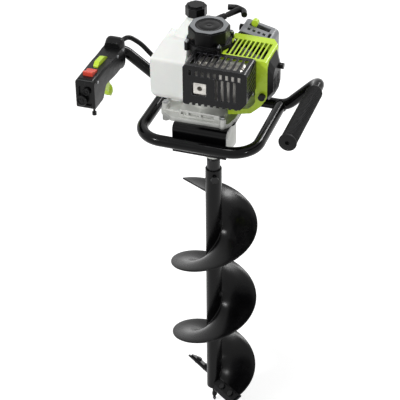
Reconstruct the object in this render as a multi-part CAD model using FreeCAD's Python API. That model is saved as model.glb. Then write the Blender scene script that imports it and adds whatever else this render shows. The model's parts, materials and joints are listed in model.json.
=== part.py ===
import FreeCAD, Part
import math
import os

from FreeCAD import Vector

# Powered earth auger, in millimetres. The origin is the tip of the pilot point, on the
# axis that the bit spins about. +Z runs up that axis, +X points to the plain grip and
# -Y to the muffler; the operator stands on the +Y side.

# ---------------------------------------------------------------- driving dimensions
RUN_FIT = 0.05        # radial clearance of a shaft in its bearing
SLIDE_FIT = 0.4       # clearance of a moving moulded part in its opening
GAP = 0.3             # air between two bodies that pass each other

# auger bit
FLIGHT_D = 200.0
FLIGHT_PITCH = 210.0
FLIGHT_T = 4.2
FLIGHT_TURNS = 2.525
FLIGHT_BOTTOM = 83.0
STEM_D = 37.0
STEM_WALL = 3.5
STEM_BOTTOM = 52.0
STEM_TOP = 691.0
BLADE_W = 30.0
BLADE_T = 4.0
BLADE_RAKE = 36.0     # degrees below the horizontal, to the leading edge
BLADE_ANGLE = -35.5   # direction of the first blade about the spin axis
BLADE_BOLT_D = 8.0
PILOT_W = 11.0
PILOT_T = 5.5
PIN_D = 10.0
PIN_Z = 672.0
PIN_ANGLE = 25.0      # how far the coupling pin is turned from -Y
SOCKET_DEPTH = 45.0

# gear train
COUPLING_D = 30.0
OUTPUT_D = 20.0
LAY_D = 12.0
CLUTCH_SHAFT_D = 15.0
PRESSURE_ANGLE = 25.0
FAST_MODULE = 1.25
SLOW_MODULE = 1.75
PINION_TEETH = 9
FAST_GEAR_TEETH = 51
SLOW_GEAR_TEETH = 47
TRAIN_ANGLE = 150.0   # direction from the spin axis to the lay shaft
NOSE_BOTTOM = 724.0
NOSE_NECK_D = 38.0
CASE_BOTTOM = 762.0
CASE_WALL = 5.0
CASE_TOP = 824.0
COVER_TOP = 838.0
SLOW_GEAR_Z = 778.0
SLOW_GEAR_W = 18.0
FAST_GEAR_Z = 806.0
FAST_GEAR_W = 10.0

# frame and grips
FRAME_TUBE_D = 25.4
FRAME_TUBE_WALL = 2.0
FRAME_Z = 805.0
FRAME_FRONT = -100.0
FRAME_REAR = 124.0
FRAME_LEFT = -145.0
FRAME_RIGHT = 118.0
FRAME_BEND = 58.0
HANDLE_Z = 886.0
HANDLE_BEND = 45.0
HANDLE_RIGHT = 208.0
HANDLE_LEFT = -262.0
GRIP_D = 35.0
GRIP_FLANGE_D = 39.0
GRIP_FRONT = -148.0
GRIP_REAR = 72.0
PLATE_T = 4.0
PLATE_W = 121.0
PLATE_SKIRT = 776.0

# engine
CRANK_STROKE = 34.0
BORE_D = 44.0
ROD_LENGTH = 64.0
CRANKCASE_BOTTOM = 900.0
CRANKCASE_TOP = 976.0
CYLINDER_Z = 940.0
FIN_COUNT = 8
FIN_SIZE = 70.0
FIN_T = 2.0
DRUM_D = 78.0
FLYWHEEL_D = 84.0
FLYWHEEL_Z = 984.0
STARTER_BOTTOM = 1009.0
STARTER_TOP = 1044.0
STARTER_D = 83.0
REEL_ROPE_R = 20.0
PULL_ANGLE = 62.0     # direction of the starter pull, from +X towards +Y
SHELL_T = 2.5

# muffler guard, shroud, filter and tank
GUARD_LEFT = -30.0
GUARD_RIGHT = 109.0
GUARD_FRONT = -110.0
GUARD_REAR = -43.0
GUARD_BOTTOM = 914.0
GUARD_TOP = 1008.0
SHROUD_FRONT = -40.0
SHROUD_REAR = 62.0
SHROUD_RIGHT = 132.0
SHROUD_TOP = 1003.0
END_COVER_DEPTH = 10.0
FILTER_LEFT = 30.0
FILTER_RIGHT = 105.0
FILTER_FRONT = 80.0
FILTER_REAR = 139.0
FILTER_BOTTOM = 908.0
FILTER_TOP = 1001.0
FILTER_FALL = 18.0    # how far the filter cover's top drops towards +X
TANK_LEFT = -136.0
TANK_RIGHT = -57.0
TANK_FRONT = -20.0
TANK_REAR = 98.0
TANK_BOTTOM = 857.0
TANK_SHOULDER = 955.0
TANK_TOP = 990.0
TANK_WALL = 2.5
CAP_X = -61.0
CAP_Y = 70.0
CAP_Z = 1029.0
CAP_D = 44.0
CAP_H = 24.0

# control handle and throttle cable
CONTROL_W = 44.0
CONTROL_FRONT = -85.0
CONTROL_REAR = 96.0
CONTROL_TOP = 914.0
CONTROL_BOTTOM = 838.0
CONTROL_WALL = 3.0
CABLE_D = 11.0

# ---------------------------------------------------------------- derived values
STEM_R = STEM_D / 2
STEM_BORE_R = STEM_R - STEM_WALL
FLIGHT_R = FLIGHT_D / 2
FLIGHT_TOP = FLIGHT_BOTTOM + FLIGHT_TURNS * FLIGHT_PITCH
TUBE_R = FRAME_TUBE_D / 2
FAST_CENTRES = FAST_MODULE * (PINION_TEETH + FAST_GEAR_TEETH) / 2
SLOW_CENTRES = SLOW_MODULE * (PINION_TEETH + SLOW_GEAR_TEETH) / 2
TRAIN = Vector(math.cos(math.radians(TRAIN_ANGLE)), math.sin(math.radians(TRAIN_ANGLE)), 0)
LAY = TRAIN * SLOW_CENTRES
CRANK = TRAIN * (SLOW_CENTRES - FAST_CENTRES)
PLATE_TOP = COVER_TOP + PLATE_T
PLATE_LEFT = CRANK.x - 54
BEARING_OUTPUT = (47.0, 14.0)
BEARING_LAY = (32.0, 10.0)
BEARING_SHAFT = (35.0, 11.0)
PULL = Vector(math.cos(math.radians(PULL_ANGLE)), math.sin(math.radians(PULL_ANGLE)), 0)
PULL_SIDE = Vector(PULL.y, -PULL.x, 0)
ROPE_START = CRANK - PULL_SIDE * REEL_ROPE_R
UP = Vector(0, 0, 1)
X_AXIS = Vector(1, 0, 0)
Y_AXIS = Vector(0, 1, 0)
ORIGIN = Vector(0, 0, 0)


# ---------------------------------------------------------------- shape helpers
def at_height(point, z):
    return Vector(point.x, point.y, z)


def box(x0, x1, y0, y1, z0, z1):
    return Part.makeBox(x1 - x0, y1 - y0, z1 - z0, Vector(x0, y0, z0))


def rod(radius, start, end):
    along = end.sub(start)
    return Part.makeCylinder(radius, along.Length, start, along)


def post(radius, centre, z0, z1):
    """Upright cylinder on the line through centre."""
    return Part.makeCylinder(radius, z1 - z0, at_height(centre, z0), UP)


def ring(outer, inner, centre, z0, z1):
    return post(outer, centre, z0, z1).cut(post(inner, centre, z0 - 1, z1 + 1))


def joined(shapes):
    shape = shapes[0]
    if len(shapes) > 1:
        shape = shape.multiFuse(shapes[1:])
    return shape.removeSplitter()


def turned(profile, centre=ORIGIN):
    """Solid of revolution about an upright line; profile is (radius, height) points."""
    points = [Vector(r, 0, z) for r, z in profile]
    face = Part.Face(Part.makePolygon(points + points[:1]))
    solid = face.revolve(ORIGIN, UP, 360)
    solid.translate(Vector(centre.x, centre.y, 0))
    return solid


def rounded_path(points, radius, closed):
    """Wire of straight runs joined by tangent arcs; radius is one value or a list."""
    count = len(points)
    radii = radius if isinstance(radius, list) else [radius] * count
    corners = range(count) if closed else range(1, count - 1)
    enter = list(points)
    leave = list(points)
    arcs = {}
    for i in corners:
        if radii[i] <= 0:
            continue
        back = (points[i - 1] - points[i]).normalize()
        ahead = (points[(i + 1) % count] - points[i]).normalize()
        half = back.getAngle(ahead) / 2
        reach = radii[i] / math.tan(half)
        inward = (back + ahead).normalize()
        enter[i] = points[i] + back * reach
        leave[i] = points[i] + ahead * reach
        middle = points[i] + inward * (radii[i] / math.sin(half) - radii[i])
        arcs[i] = Part.Arc(enter[i], middle, leave[i]).toShape()
    edges = []
    for i in range(count if closed else count - 1):
        following = (i + 1) % count
        if leave[i].distanceToPoint(enter[following]) > 1e-6:
            edges.append(Part.makeLine(leave[i], enter[following]))
        if following in arcs:
            edges.append(arcs[following])
    return Part.Wire(edges)


def slab(points, radius, thickness):
    """Flat outline with rounded corners, pushed out along the thickness vector."""
    return Part.Face(rounded_path(points, radius, True)).extrude(thickness)


def slab_z(outline, radius, z0, z1):
    return slab([Vector(x, y, z0) for x, y in outline], radius, Vector(0, 0, z1 - z0))


def slab_x(outline, radius, x0, x1):
    """Outline of (y, z) points pushed along X."""
    return slab([Vector(x0, y, z) for y, z in outline], radius, Vector(x1 - x0, 0, 0))


def slab_y(outline, radius, y0, y1):
    """Outline of (x, z) points pushed along Y."""
    return slab([Vector(x, y0, z) for x, z in outline], radius, Vector(0, y1 - y0, 0))


def rectangle(a0, a1, b0, b1):
    return [(a0, b0), (a1, b0), (a1, b1), (a0, b1)]


def pipe(points, bend, radius):
    """Round bar along a bent path: a cylinder for each run, part of a torus for each bend."""
    pieces = []
    for edge in rounded_path(points, bend, False).OrderedEdges:
        start = edge.valueAt(edge.FirstParameter)
        if isinstance(edge.Curve, Part.Line):
            pieces.append(rod(radius, start, edge.valueAt(edge.LastParameter)))
            continue
        along = edge.tangentAt(edge.FirstParameter)
        disc = Part.Face(Part.Wire([Part.Circle(start, along, radius).toShape()]))
        turn = math.degrees(edge.LastParameter - edge.FirstParameter)
        pieces.append(disc.revolve(edge.Curve.Center, edge.Curve.Axis, turn))
    return joined(pieces)


def tube(points, bend, radius, wall):
    return pipe(points, bend, radius).cut(pipe(points, bend, radius - wall))


def screw(start, end, shank, head, head_h):
    """Cap screw: the head stands on start and the shank ends at end."""
    along = (end - start).normalize()
    top = start - along * head_h
    body = joined([rod(shank / 2, start, end), rod(head / 2, top, start)])
    return body.cut(rod(head / 4, top, top + along * head_h * 0.6))


def hex_bolt(start, end, shank, across, head_h):
    along = (end - start).normalize()
    side = along.cross(UP)
    if side.Length < 0.1:
        side = along.cross(X_AXIS)
    side.normalize()
    other = along.cross(side)
    corner = across / math.sqrt(3)
    points = []
    for i in range(6):
        angle = math.radians(60 * i)
        points.append(start + side * corner * math.cos(angle) + other * corner * math.sin(angle))
    head = slab(points, 0, along * -head_h)
    return joined([rod(shank / 2, start, end), head])


# ---------------------------------------------------------------- gears and bearings
def involute_gear(module, teeth, centre, z0, width, phase):
    """Spur gear with short involute teeth; phase is the angle of one tooth's middle."""
    pressure = math.radians(PRESSURE_ANGLE)
    pitch_r = module * teeth / 2
    base_r = pitch_r * math.cos(pressure)
    tip_r = pitch_r + 0.78 * module
    root_r = pitch_r - 1.05 * module
    backlash = 0.10 / pitch_r
    half_tooth = math.pi / (2 * teeth) - backlash

    def flank_angle(radius):
        """Half the tooth's angle at a radius, from the involute function."""
        if radius <= base_r:
            lean = 0.0
        else:
            roll = math.acos(base_r / radius)
            lean = math.tan(roll) - roll
        return half_tooth + math.tan(pressure) - pressure - lean

    levels = [root_r, max(base_r, root_r + 0.2), (max(base_r, root_r) + tip_r) / 2, tip_r]
    points = []
    for tooth in range(teeth):
        middle = phase + tooth * 2 * math.pi / teeth
        for side in (-1, 1):
            for radius in (levels if side < 0 else levels[::-1]):
                angle = middle + side * flank_angle(radius)
                offset = Vector(math.cos(angle), math.sin(angle), 0) * radius
                points.append(at_height(centre + offset, z0))
    return Part.Face(Part.makePolygon(points + points[:1])).extrude(Vector(0, 0, width))


def bearing(bore_d, size, centre, z0):
    """Ball bearing as one ring, with the recessed shield between its two races."""
    outer = size[0] / 2
    inner = bore_d / 2 + RUN_FIT
    width = size[1]
    race = (outer - inner) * 0.28
    dish = 0.8
    return turned([
        (inner, z0), (inner + race, z0), (inner + race, z0 + dish),
        (outer - race, z0 + dish), (outer - race, z0), (outer, z0),
        (outer, z0 + width), (outer - race, z0 + width), (outer - race, z0 + width - dish),
        (inner + race, z0 + width - dish), (inner + race, z0 + width), (inner, z0 + width),
    ], centre)


OUTPUT_BEARING_Z = (741.0, 758.0)
LAY_BEARING_Z = (765.0, 825.5)
CLUTCH_BEARING_Z = (825.5, 843.0)
CRANK_BEARING_Z = (902.0, 963.0)
MESH_PHASE = math.radians(TRAIN_ANGLE)


def output_bearings():
    parts = [bearing(OUTPUT_D, BEARING_OUTPUT, ORIGIN, z) for z in OUTPUT_BEARING_Z]
    return Part.makeCompound(parts)


def lay_bearings():
    return Part.makeCompound([bearing(LAY_D, BEARING_LAY, LAY, z) for z in LAY_BEARING_Z])


def shaft_bearings():
    heights = CLUTCH_BEARING_Z + CRANK_BEARING_Z
    parts = [bearing(CLUTCH_SHAFT_D, BEARING_SHAFT, CRANK, z) for z in heights]
    return Part.makeCompound(parts)


def output_gear():
    top = SLOW_GEAR_Z + SLOW_GEAR_W
    gear = involute_gear(SLOW_MODULE, SLOW_GEAR_TEETH, ORIGIN, SLOW_GEAR_Z, SLOW_GEAR_W, MESH_PHASE)
    recess = ring(35, 17, ORIGIN, top - 5, top + 1)
    bore = post(OUTPUT_D / 2, ORIGIN, SLOW_GEAR_Z - 1, top + 1)
    return gear.cut(recess).cut(bore)


def lay_gear():
    """Large fast gear, small slow pinion and their shaft, made as one piece."""
    fast_phase = MESH_PHASE + math.pi + math.pi / FAST_GEAR_TEETH
    slow_phase = MESH_PHASE + math.pi + math.pi / PINION_TEETH
    wheel = involute_gear(FAST_MODULE, FAST_GEAR_TEETH, LAY, FAST_GEAR_Z, FAST_GEAR_W, fast_phase)
    pinion_z = SLOW_GEAR_Z - 1
    pinion_w = SLOW_GEAR_W + 4
    pinion = involute_gear(SLOW_MODULE, PINION_TEETH, LAY, pinion_z, pinion_w, slow_phase)
    collar = post(9, LAY, pinion_z + pinion_w, FAST_GEAR_Z)
    shaft = post(LAY_D / 2, LAY, LAY_BEARING_Z[0], LAY_BEARING_Z[1] + BEARING_LAY[1])
    recess = ring(27, 14, LAY, FAST_GEAR_Z + FAST_GEAR_W - 3, FAST_GEAR_Z + FAST_GEAR_W + 1)
    return joined([wheel, pinion, collar, shaft]).cut(recess)


def clutch_drum():
    """Clutch drum on its shaft, which ends below in the fast pinion."""
    phase = MESH_PHASE
    pinion_z = FAST_GEAR_Z - 2
    pinion = involute_gear(FAST_MODULE, PINION_TEETH, CRANK, pinion_z, FAST_GEAR_W + 4, phase)
    shaft = post(CLUTCH_SHAFT_D / 2, CRANK, pinion_z + FAST_GEAR_W + 4, 858)
    drum_r = DRUM_D / 2
    cup = turned([
        (0, 857), (drum_r, 857), (drum_r, 880), (drum_r - 2.2, 880), (drum_r - 2.2, 860), (0, 860),
    ], CRANK)
    return joined([pinion, shaft, cup])


def clutch_shoes():
    """Two curved shoes and the driving hub of a centrifugal clutch."""
    outer = DRUM_D / 2 - 2.2 - 0.9
    hub = ring(12, CLUTCH_SHAFT_D / 2, CRANK, 863, 877)
    shoes = ring(outer, 21, CRANK, 864, 876)
    gap = box(CRANK.x - outer - 1, CRANK.x + outer + 1, CRANK.y - 5, CRANK.y + 5, 860, 880)
    arms = box(CRANK.x - 4, CRANK.x + 4, CRANK.y - 24, CRANK.y + 24, 866, 874)
    arms = arms.cut(post(9, CRANK, 860, 880))
    return joined([hub, shoes.cut(gap), arms])


def pin_hole():
    hole = rod(PIN_D / 2, Vector(0, -30, PIN_Z), Vector(0, 30, PIN_Z))
    hole.rotate(ORIGIN, UP, PIN_ANGLE)
    return hole


def output_shaft():
    """Stepped shaft: coupling for the bit below, bearings and gear seat above."""
    shaft_r = OUTPUT_D / 2
    socket_bottom = STEM_TOP - SOCKET_DEPTH
    top = SLOW_GEAR_Z + SLOW_GEAR_W + 2
    body = turned([
        (0, socket_bottom), (COUPLING_D / 2 - 2, socket_bottom), (COUPLING_D / 2, socket_bottom + 2),
        (COUPLING_D / 2, 716), (COUPLING_D / 2 - 2, 719), (shaft_r + 2, 719), (shaft_r + 2, 722.5),
        (shaft_r, 722.5), (shaft_r, top - 1), (shaft_r - 1, top), (0, top),
    ])
    return body.cut(pin_hole())


# ---------------------------------------------------------------- gearbox castings
def two_circle_outline(radius_output, radius_lay, z):
    """Face around a circle on the spin axis and one on the lay shaft, with their tangents."""
    lean = math.acos((radius_output - radius_lay) / SLOW_CENTRES)
    base = math.radians(TRAIN_ANGLE)

    def spot(centre, radius, angle):
        return at_height(centre + Vector(math.cos(angle), math.sin(angle), 0) * radius, z)

    first = [spot(ORIGIN, radius_output, base + lean), spot(LAY, radius_lay, base + lean)]
    second = [spot(ORIGIN, radius_output, base - lean), spot(LAY, radius_lay, base - lean)]
    near = spot(ORIGIN, radius_output, base + math.pi)
    far = spot(LAY, radius_lay, base)
    return Part.Face(Part.Wire([
        Part.Arc(second[0], near, first[0]).toShape(),
        Part.makeLine(first[0], first[1]),
        Part.Arc(first[1], far, second[1]).toShape(),
        Part.makeLine(second[1], second[0]),
    ]))


def case_block(inset, z0, z1):
    outline = two_circle_outline(CASE_R - inset, LAY_CASE_R - inset, z0)
    return outline.extrude(Vector(0, 0, z1 - z0))


BOLT_D = 6.0
BOLT_BOSS_R = 8.5
BOLT_OUT = 6.6        # from the gearbox wall out to the bolt's axis


def polar(centre, radius, degrees):
    turn = math.radians(degrees)
    return centre + Vector(math.cos(turn), math.sin(turn), 0) * radius


CASE_R = SLOW_MODULE * SLOW_GEAR_TEETH / 2 + SLOW_MODULE + 2.5 + CASE_WALL
LAY_CASE_R = FAST_MODULE * FAST_GEAR_TEETH / 2 + FAST_MODULE + 2.5 + CASE_WALL
CASE_BOLT_SPOTS = [polar(ORIGIN, CASE_R + BOLT_OUT, angle) for angle in (-40, -118, 62)]
CASE_BOLT_SPOTS.append(polar(LAY, LAY_CASE_R + BOLT_OUT, 165))


def bolt_bosses(z0, z1):
    return [post(BOLT_BOSS_R, spot, z0, z1) for spot in CASE_BOLT_SPOTS]


def bolt_holes(z0, z1):
    return [post(BOLT_D / 2, spot, z0 - 1, z1 + 1) for spot in CASE_BOLT_SPOTS]


def gearbox_housing():
    nose = turned([
        (NOSE_NECK_D / 2 - 1, NOSE_BOTTOM), (NOSE_NECK_D / 2, NOSE_BOTTOM + 1),
        (NOSE_NECK_D / 2, 736), (28.5, 739.5), (30, CASE_BOTTOM), (0, CASE_BOTTOM + 2),
        (0, NOSE_BOTTOM),
    ])
    ribs = []
    for angle in range(0, 360, 60):
        rib = box(17, 47, -2, 2, 742, CASE_BOTTOM + 1)
        corner = Part.makePolygon([
            Vector(30, -3, 741), Vector(48, -3, 741), Vector(48, -3, 760), Vector(30, -3, 741),
        ])
        rib = rib.cut(Part.Face(corner).extrude(Vector(0, 6, 0)))
        rib.rotate(ORIGIN, UP, angle)
        ribs.append(rib)
    outside = joined([nose, case_block(0, CASE_BOTTOM, CASE_TOP)] + ribs
                     + bolt_bosses(CASE_TOP - 22, CASE_TOP))
    inside = case_block(CASE_WALL, 774, CASE_TOP + 1)
    seats = [
        post(BEARING_OUTPUT[0] / 2, ORIGIN, OUTPUT_BEARING_Z[0], 775),
        post(OUTPUT_D / 2 + 2, ORIGIN, 732, 742),
        post(16, ORIGIN, NOSE_BOTTOM - 1, 733),
        post(BEARING_LAY[0] / 2, LAY, LAY_BEARING_Z[0], 775),
    ]
    return outside.cut([inside] + seats + bolt_holes(CASE_TOP - 22, CASE_TOP))


def output_seal():
    outer = 16.0
    lip = OUTPUT_D / 2 + RUN_FIT
    return turned([
        (lip, 727), (outer - 4, 727), (outer - 4, 726), (outer, 726), (outer, 733), (outer - 2, 733),
        (outer - 2, 729), (lip + 2, 729), (lip + 2, 732), (lip, 732),
    ])


def gearbox_cover():
    outside = joined([case_block(0, CASE_TOP, COVER_TOP)] + bolt_bosses(CASE_TOP, COVER_TOP))
    seats = [
        post(BEARING_SHAFT[0] / 2, CRANK, CLUTCH_BEARING_Z[0], CLUTCH_BEARING_Z[0] + BEARING_SHAFT[1]),
        post(CLUTCH_SHAFT_D / 2 + 1.5, CRANK, CASE_TOP - 1, COVER_TOP + 1),
        post(BEARING_LAY[0] / 2, LAY, CASE_TOP - 1, LAY_BEARING_Z[1] + BEARING_LAY[1]),
    ]
    return outside.cut(seats + bolt_holes(CASE_TOP, COVER_TOP))


HOUSING_BOTTOM = PLATE_TOP
HOUSING_FLANGE = 10.0
FLANGE_SPOTS = [Vector(42, -64, 0), Vector(-94, -40, 0), Vector(-84, 58, 0), Vector(52, 44, 0)]
FLANGE_BOSSES = (22.0, 24.0, 10.5, 13.0)
BELL_R = DRUM_D / 2 + 8


def clutch_housing():
    """Bell casting that carries the clutch drum and stands on the mount plate."""
    flange_top = HOUSING_BOTTOM + HOUSING_FLANGE
    outline = [(54, -68), (62, -30), (62, 52), (-90, 66), (-103, 40), (-103, -50), (-72, -72)]
    flange = slab_z(outline, [14, 12, 14, 10, 10, 12, 10], HOUSING_BOTTOM, flange_top)
    bell = post(BELL_R, CRANK, HOUSING_BOTTOM, CRANKCASE_BOTTOM)
    shelf = box(-56, 44, -62, 30, HOUSING_BOTTOM + 1, HOUSING_BOTTOM + 25)
    tank_shelf = box(-98, -40, -48, 50, HOUSING_BOTTOM + 1, TANK_BOTTOM - 3)
    bosses = []
    for spot, height in zip(FLANGE_SPOTS, FLANGE_BOSSES):
        bosses.append(post(8, spot, HOUSING_BOTTOM, HOUSING_BOTTOM + height))
    bosses.append(post(8, FLANGE_SPOTS[1], HOUSING_BOTTOM - 18, HOUSING_BOTTOM + 1))
    outside = joined([flange, bell, shelf, tank_shelf] + bosses)
    cuts = [
        post(DRUM_D / 2 + 4, CRANK, 855, CRANKCASE_BOTTOM + 1),
        post(BEARING_SHAFT[0] / 2, CRANK, CLUTCH_BEARING_Z[1], 856),
        post(CLUTCH_SHAFT_D / 2 + 1.5, CRANK, HOUSING_BOTTOM - 1, 856),
    ]
    for left, right in ((-52, -40), (-35, -12), (-7, 22)):
        cuts.append(box(left, right, -80, -57, 856, 863))
    cuts += [post(BOLT_D / 2, spot, 820, 870) for spot in FLANGE_SPOTS]
    cuts += [post(BOLT_D / 2, spot, HOUSING_BOTTOM - 1, HOUSING_BOTTOM + 9) for spot in CASE_BOLT_SPOTS]
    head_room = FLANGE_SPOTS[0]
    cuts.append(post(7.5, head_room, HOUSING_BOTTOM + FLANGE_BOSSES[0], HOUSING_BOTTOM + 30))
    return outside.cut(cuts)


def housing_bolts():
    """Gearbox bolts from below and clutch housing bolts from above, all of one size."""
    bolts = []
    for spot in CASE_BOLT_SPOTS:
        start = at_height(spot, CASE_TOP - 22)
        bolts.append(hex_bolt(start, at_height(spot, PLATE_TOP + 8), BOLT_D - 0.2, 10, 4))
    for spot, top in zip(FLANGE_SPOTS, FLANGE_BOSSES):
        start = at_height(spot, HOUSING_BOTTOM + top)
        bolts.append(hex_bolt(start, at_height(spot, HOUSING_BOTTOM - 8), BOLT_D - 0.2, 10, 4))
    return Part.makeCompound(bolts)


def mount_plate():
    """Folded steel plate welded between the front tube and the rear bar."""
    front = FRAME_FRONT + TUBE_R
    rear = FRAME_REAR - TUBE_R
    rise = 12.0
    outline = [
        (front, PLATE_SKIRT), (front + PLATE_T, PLATE_SKIRT), (front + PLATE_T, COVER_TOP),
        (rear - PLATE_T, COVER_TOP), (rear - PLATE_T, FRAME_Z - 10), (rear, FRAME_Z - 10),
        (rear, PLATE_TOP), (front, PLATE_TOP),
    ]
    radii = [0, 0, rise - PLATE_T, rise - PLATE_T, 0, 0, rise, rise]
    plate = slab_x(outline, radii, PLATE_LEFT, PLATE_LEFT + PLATE_W)
    wings = slab_z([(-103, -50), (-103, 60), (62, 60), (62, -50)], 12, COVER_TOP, PLATE_TOP)
    plate = joined([plate, wings])
    holes = [post(BEARING_SHAFT[0] / 2 + 2, CRANK, COVER_TOP - 1, PLATE_TOP + 1)]
    holes += bolt_holes(COVER_TOP, PLATE_TOP)
    holes += [post(BOLT_D / 2, spot, 800, 860) for spot in FLANGE_SPOTS]
    holes.append(post(8.2, FLANGE_SPOTS[1], 800, 860))
    return plate.cut(holes)


# ---------------------------------------------------------------- frame and grips
def handle_bar_points():
    low_right = FRAME_RIGHT + 12
    low_left = FRAME_LEFT - 2
    return [
        Vector(HANDLE_RIGHT, GRIP_FRONT + 6, HANDLE_Z),
        Vector(HANDLE_RIGHT, FRAME_REAR, HANDLE_Z),
        Vector(low_right, FRAME_REAR, FRAME_Z),
        Vector(low_left, FRAME_REAR, FRAME_Z),
        Vector(HANDLE_LEFT, FRAME_REAR, HANDLE_Z),
        Vector(HANDLE_LEFT, CONTROL_FRONT + 60, HANDLE_Z),
    ]


HANDLE_BENDS = [0, 34.0, HANDLE_BEND, HANDLE_BEND, 25.0, 0]


def handle_bar():
    return tube(handle_bar_points(), HANDLE_BENDS, TUBE_R, FRAME_TUBE_WALL)


def frame_loop():
    points = [
        Vector(FRAME_LEFT, FRAME_REAR, FRAME_Z), Vector(FRAME_LEFT, FRAME_FRONT, FRAME_Z),
        Vector(FRAME_RIGHT, FRAME_FRONT, FRAME_Z), Vector(FRAME_RIGHT, FRAME_REAR, FRAME_Z),
    ]
    loop = tube(points, FRAME_BEND, TUBE_R, FRAME_TUBE_WALL)
    return loop.cut(pipe(handle_bar_points(), HANDLE_BENDS, TUBE_R))


def right_grip():
    """Rubber sleeve with a domed end, ribs around it and a flange at its free end."""
    grip_r = GRIP_D / 2
    start = Vector(HANDLE_RIGHT, GRIP_FRONT, HANDLE_Z)
    end = Vector(HANDLE_RIGHT, GRIP_REAR, HANDLE_Z)
    sleeve = rod(grip_r, start, end)
    flange = rod(GRIP_FLANGE_D / 2, start, start + Y_AXIS * 5)
    parts = [sleeve, flange]
    rib_pitch = 16.0
    ribs = int((GRIP_REAR - GRIP_FRONT - 24) / rib_pitch)
    for i in range(ribs):
        low = start + Y_AXIS * (14 + i * rib_pitch)
        parts.append(rod(grip_r + 0.9, low, low + Y_AXIS * 4))
    bore = rod(TUBE_R, start + Y_AXIS * 6, end + Y_AXIS)
    vent = rod(2.5, start - Y_AXIS, start + Y_AXIS * 8)
    return joined(parts).cut([bore, vent])


# ---------------------------------------------------------------- engine core
def crankcase():
    cx, cy = CRANK.x, CRANK.y
    foot = cx + 36
    body = slab_z(rectangle(cx - 41, foot + 20, cy - 40, cy + 42), 12, CRANKCASE_BOTTOM, CRANKCASE_TOP)
    skirt = post(BELL_R, CRANK, CRANKCASE_BOTTOM, CRANKCASE_BOTTOM + 8)
    deck = post(FLYWHEEL_D / 2 + 4, CRANK, CRANKCASE_TOP - 6, CRANKCASE_TOP)
    past_foot = box(foot, foot + 90, cy - 90, cy + 90, CRANKCASE_BOTTOM - 1, CRANKCASE_TOP + 1)
    outside = joined([body, skirt, deck]).cut(past_foot)
    for z in (916, 928, 948, 960):
        groove = ring(70, 38, CRANK, z, z + 4)
        outside = outside.cut(groove.cut(box(cx + 22, cx + 90, cy - 90, cy + 90, z - 1, z + 5)))
    hole = CLUTCH_SHAFT_D / 2 + 1.5
    seat = BEARING_SHAFT[0] / 2
    low, high = CRANK_BEARING_Z
    deep = BEARING_SHAFT[1]
    inside = turned([
        (0, CRANKCASE_BOTTOM - 1), (hole, CRANKCASE_BOTTOM - 1), (hole, low), (seat, low),
        (seat, low + deep), (hole, low + deep), (hole, 917), (29, 917), (29, 961), (hole, 961),
        (hole, high), (seat, high), (seat, high + deep), (hole, high + deep),
        (hole, CRANKCASE_TOP + 1), (0, CRANKCASE_TOP + 1),
    ], CRANK)
    bore = rod(BORE_D / 2 + 0.4, Vector(cx, cy, CYLINDER_Z), Vector(cx + 37, cy, CYLINDER_Z))
    return outside.cut([inside, bore])


def crankshaft():
    """Both main journals with their full round webs; the crank pin is on the rod."""
    journal = CLUTCH_SHAFT_D / 2
    lower = joined([post(journal, CRANK, 863, 921), post(28, CRANK, 919, 932.5)])
    upper = joined([post(journal, CRANK, 958, 1012), post(28, CRANK, 947.5, 960)])
    trim = CRANK + X_AXIS * -17
    lower = lower.cut(post(6, trim, 918, 928))
    return Part.makeCompound([lower, upper])


def rod_axis_points():
    big = Vector(CRANK.x + CRANK_STROKE / 2, CRANK.y, CYLINDER_Z)
    small = big + X_AXIS * ROD_LENGTH
    return big, small


def connecting_rod():
    big, small = rod_axis_points()
    lift = Vector(0, 0, 5)
    eye = rod(11, big - lift, big + lift)
    little = rod(9, small - lift, small + lift)
    web = box(big.x, small.x, CRANK.y - 4, CRANK.y + 4, CYLINDER_Z - 3.5, CYLINDER_Z + 3.5)
    pin = rod(6, big - Vector(0, 0, 6.5), big + Vector(0, 0, 6.5))
    return joined([eye, little, web, pin]).cut(rod(5, small - lift * 2, small + lift * 2))


def piston():
    """Deep cup with two ring grooves, its gudgeon pin and the bosses for it."""
    small = rod_axis_points()[1]
    radius = BORE_D / 2 - RUN_FIT
    crown = small.x + 16
    bottom = small.x - 18
    body = rod(radius, Vector(bottom, CRANK.y, CYLINDER_Z), Vector(crown, CRANK.y, CYLINDER_Z))
    hollow = rod(radius - 4, Vector(bottom - 1, CRANK.y, CYLINDER_Z),
                 Vector(crown - 5, CRANK.y, CYLINDER_Z))
    body = body.cut(hollow)
    for offset in (3, 7):
        groove = rod(radius + 1, Vector(crown - offset - 1.5, CRANK.y, CYLINDER_Z),
                     Vector(crown - offset, CRANK.y, CYLINDER_Z))
        core = rod(radius - 1.2, Vector(crown - offset - 2, CRANK.y, CYLINDER_Z),
                   Vector(crown - offset + 1, CRANK.y, CYLINDER_Z))
        body = body.cut(groove.cut(core))
    pin = rod(5, small - UP * (radius - 3), small + UP * (radius - 3))
    return joined([body, pin])


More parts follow.
